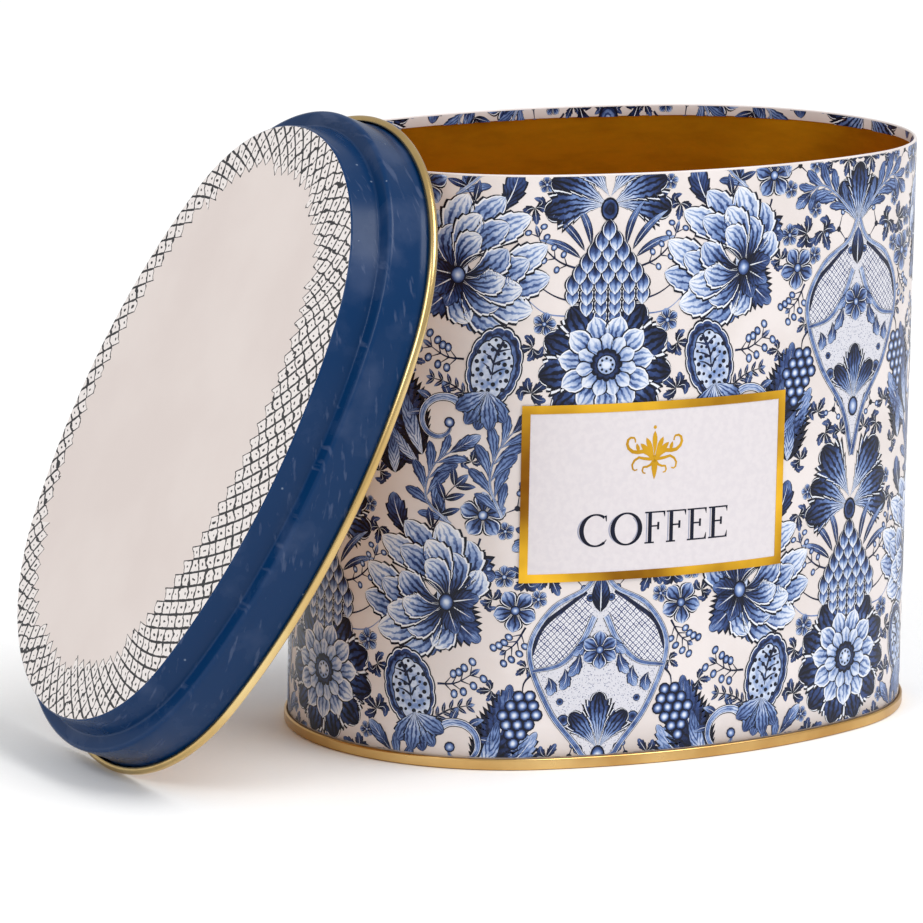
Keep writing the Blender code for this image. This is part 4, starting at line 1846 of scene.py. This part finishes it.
@dataclass
class Lid:
    """The stepped lid with its rolled edge, in its own upright section.

    Attributes:
        oval: the wall's outline that the lid slips over.
        pose: where the lid leans.
        sheet: thickness of its sheet.
        fit: gap between skirt and wall.
        ledge_height: height of the step above the rolled edge's foot.
        ledge_width: width of the step.
        crown_height: height of the raised middle above the step.
        crown_taper: how much the crown draws in.
        crown_edge: radius of the crown's edges.
        ledge_edge: radius of the step's outer edge.
        curl_radius: outer radius of the rolled edge.
        curl_reach: how far the rolled edge stands out from the skirt.
        flare_height: where the skirt starts to flare into the roll.
        flare_middle: height of the flare's middle.
        panel_depth: how far inside the outline the panel's middle starts.
    """

    oval: Oval
    pose: Pose
    sheet: float = 0.0003
    fit: float = 0.0005
    ledge_height: float = 0.0121
    ledge_width: float = 0.0041
    crown_height: float = 0.0066
    crown_taper: float = 0.0016
    crown_edge: float = 0.0007
    ledge_edge: float = 0.0009
    curl_radius: float = 0.00105
    curl_reach: float = 0.00235
    flare_height: float = 0.0035
    flare_middle: float = 0.0023
    panel_depth: float = 0.025

    def middle_line(self) -> tuple[np.ndarray, int, int]:
        """The middle of the sheet from the panel's edge to the roll's end.

        Returns:
            The points, how many of them lie before the crown's wall, and how many before
            the roll.
        """
        skirt = self.fit + self.sheet / 2
        foot = skirt - self.ledge_width
        top = foot - self.crown_taper
        ledge = self.ledge_height - self.sheet / 2
        panel_height = self.ledge_height + self.crown_height - self.sheet / 2
        bend = self.curl_radius - self.sheet / 2
        centre = (self.fit + self.sheet + self.curl_reach - self.curl_radius, self.curl_radius)
        edge = arc_points((top - self.crown_edge, panel_height - self.crown_edge), self.crown_edge, 90, 0, 8)
        step = arc_points((foot + self.crown_edge, ledge + self.crown_edge), self.crown_edge, 180, 270, 8)
        shoulder = arc_points((skirt - self.ledge_edge, ledge - self.ledge_edge), self.ledge_edge, 90, 0, 8)
        side = rows_of(skirt, np.linspace(shoulder[-1, 1], self.flare_height, 9)[1:])
        into = centre[0] - bend
        stops = [(skirt, self.flare_height), ((skirt + into) / 2, self.flare_middle), (into, centre[1])]
        flare = smooth_path(stops, 7)[1:]
        roll = arc_points(centre, bend, 180, 480, 26)[1:]
        line = np.vstack([edge, step, shoulder, side, flare, roll])
        return line, 3, len(line) - len(roll)

    def build(self) -> list[bpy.types.Object]:
        """Builds the lid as one closed sheet.

        The section starts in the underside's middle, follows the inside face down and round
        the roll, and comes back up the outside face to the middle of the crown's panel.

        Returns:
            The piece, in a list.
        """
        line, panel_end, roll_start = self.middle_line()
        inside, outside = thickened(line, self.sheet)
        rings = -np.linspace(self.panel_depth, 0.0002 - line[0, 0], 24)
        shares = np.array([0.0, 0.25, 0.5, 0.75, 0.93])
        under, panel = (
            np.vstack([rows_of(shares, -self.panel_depth, face[0, 1]), rows_of(1.0, rings, face[0, 1])])
            for face in (inside, outside)
        )
        section = np.vstack([under, rows_of(1.0, *inside.T), rows_of(1.0, *outside.T)[::-1], panel[::-1]])
        slots = np.full(len(section) - 1, 1)
        slots[: len(under) + roll_start] = 2
        slots[len(under) + roll_start : len(under) + len(line)] = 3
        slots[len(slots) - len(panel) - panel_end :] = 0
        surface = sweep(self.oval, section, self.pose, slots)
        looks = (Lattice(LatticeUse.LID, self.oval), BlueEnamel(), Gold(GoldUse.INSIDE), Gold(GoldUse.CURL))
        finishes = [look.make() for look in looks]
        piece = surface.to_object("lid_sheet", finishes)
        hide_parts("lid")
        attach(piece, "lid")
        return [piece]

# ---------------------------------------------------------------- studio


@dataclass(frozen=True)
class Lamp:
    """A soft light.

    Attributes:
        name: the light's name.
        kind: the kind of light.
        settings: its own settings, by name.
        place: where it stands.
        away: the way back from what it lights.
    """

    name: str
    kind: str
    settings: dict[str, float | str]
    place: Vector
    away: Vector

    def build(self) -> None:
        """Adds the light to the scene."""
        data = bpy.data.lights.new(self.name, self.kind)
        for name, value in self.settings.items():
            setattr(data, name, value)
        lamp = linked(self.name, data)
        lamp.location = self.place
        lamp.rotation_euler = self.away.to_track_quat("Z", "Y").to_euler()


@dataclass(frozen=True)
class Studio:
    """A pale floor, a white surround, soft lights and the camera.

    Attributes:
        tin: the middle of the tin's foot.
        aim: what the camera looks at, from the tin's foot.
        distance: from the aim to the camera.
        yaw: the camera's turn from straight behind the front, in radians.
        pitch: how far it looks down.
        roll: its turn about its own axis.
        lens: focal length in millimetres.
        sensor: the sensor's width in millimetres.
        ambient: how brightly the surround lights the object.
        backdrop: how bright it looks to the camera.
        floor_reach: half the floor's width.
        floor_drop: how far the floor lies under the tin.
        key_turns: the key light's height, side and width, in degrees.
    """

    tin: tuple[float, float, float]
    aim: tuple[float, float, float] = (-0.0397, 0.0, 0.0644)
    distance: float = 1.3768
    yaw: float = -0.5465
    pitch: float = 0.1943
    roll: float = 0.0183
    lens: float = 225.07
    sensor: float = 36.0
    ambient: float = 0.58
    backdrop: float = 1.05
    floor_reach: float = 8.0
    floor_drop: float = 0.00005
    key_turns: tuple[float, float, float] = (58.0, 40.0, 38.0)

    def camera(self) -> None:
        """Adds the camera: it looks along its forward axis from the distance behind the aim."""
        right = Vector((math.cos(self.yaw), math.sin(self.yaw), 0))
        level = Vector((-math.sin(self.yaw), math.cos(self.yaw), 0))
        forward = math.cos(self.pitch) * level - math.sin(self.pitch) * Vector((0, 0, 1))
        up = right.cross(forward)
        across = math.cos(self.roll) * right + math.sin(self.roll) * up
        upright = math.cos(self.roll) * up - math.sin(self.roll) * right
        place = Vector(self.tin) + Vector(self.aim) - self.distance * forward
        data = bpy.data.cameras.new("camera")
        data.lens, data.sensor_width = self.lens, self.sensor
        data.clip_start, data.clip_end = 0.05, 20.0
        view = linked("camera", data)
        turn = Matrix((across, upright, -forward)).transposed()
        view.matrix_world = Matrix.Translation(place) @ turn.to_4x4()
        bpy.context.scene.camera = view

    def floor(self) -> None:
        """Adds the floor, a wide pale sheet with a faint mottle."""
        reach = self.floor_reach
        ends = ((-reach, -reach), (reach, -reach), (reach, reach), (-reach, reach))
        corners = [(*end, -self.floor_drop) for end in ends]
        mesh = bpy.data.meshes.new("floor")
        mesh.from_pydata(corners, [], [(0, 1, 2, 3)])
        linked("floor", mesh)
        finish = FlatInk("floor_paper", srgb(254, 254, 254), srgb(253, 253, 253), 0.6)
        mesh.materials.append(finish.make())

    def surround(self) -> None:
        """Adds the surround: white behind the object, and dimmer as a light."""
        world = bpy.data.worlds.new("surround")
        world.use_nodes = True
        nodes, links = world.node_tree.nodes, world.node_tree.links
        background = nodes["Background"]
        background.inputs["Color"].default_value = (1.0, 1.0, 1.0, 1.0)
        seen = nodes.new("ShaderNodeLightPath")
        strength = nodes.new("ShaderNodeMapRange")
        strength.inputs["To Min"].default_value = self.ambient
        strength.inputs["To Max"].default_value = self.backdrop
        links.new(seen.outputs["Is Camera Ray"], strength.inputs["Value"])
        links.new(strength.outputs["Result"], background.inputs["Strength"])
        bpy.context.scene.world = world
        bpy.context.scene.view_settings.view_transform = "Standard"

    def build(self) -> None:
        """Adds everything of the studio."""
        self.surround()
        self.floor()
        lift, side, spread = (math.radians(angle) for angle in self.key_turns)
        away = Vector((math.cos(lift) * math.sin(side), -math.cos(lift) * math.cos(side), math.sin(lift)))
        Lamp("key", "SUN", {"energy": 1.8, "angle": spread}, Vector(), away).build()
        shape = {"shape": "RECTANGLE", "size": 0.7, "size_y": 0.9, "energy": 9.0}
        place, lit = Vector((-1.3, -0.5, 1.1)), Vector((-0.07, 0.0, 0.06))
        Lamp("sheen", "AREA", shape, place, place - lit).build()
        self.camera()


def lid_pose(record: dict, joint: dict, lid: Lid, roll: float = math.radians(-14.2)) -> Pose:
    """Finds how the lid leans.

    Args:
        record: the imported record, whose crown mount lies on the lid's own axis.
        joint: the lid's joint, along that axis.
        lid: the lid's sizes.
        roll: the lid's turn about its axis from upright.

    Returns:
        The lid's pose: its long way, its short way and its axis, from the roll's plane.
    """
    outward = Vector(joint["axis"]).normalized()
    upward = (Vector((0, 0, 1)) - outward.z * outward).normalized()
    along = Matrix.Rotation(roll, 3, outward) @ upward
    crown = next(mount for mount in record["mounts"] if mount["name"] == "lid_crown")
    origin = Vector(crown["pos_m"]) - (lid.ledge_height + lid.crown_height) * outward
    return Pose(tuple(origin), (tuple(along), tuple(outward.cross(along)), tuple(outward)))


def main() -> None:
    """Builds the tin, its label, its lid and the studio, and reports each piece."""
    logging.basicConfig(level=logging.INFO, format="%(message)s")
    low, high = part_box("base_end")
    middle = (low + high) / 2
    foot = (middle.x, middle.y, 0.0)
    oval, pose = Oval(), Pose(foot)
    tin = Tin(oval, pose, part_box("body_wall")[1].z)
    lid = Lid(oval, pose)
    lid.pose = lid_pose(frame["record"], frame["joints"][0], lid)
    for part in (tin, Label(oval, pose), lid):
        for piece in part.build():
            LOG.info("%s: %d faces", piece.name, len(piece.data.polygons))
    Studio(foot).build()


if __name__ == "__main__":
    main()
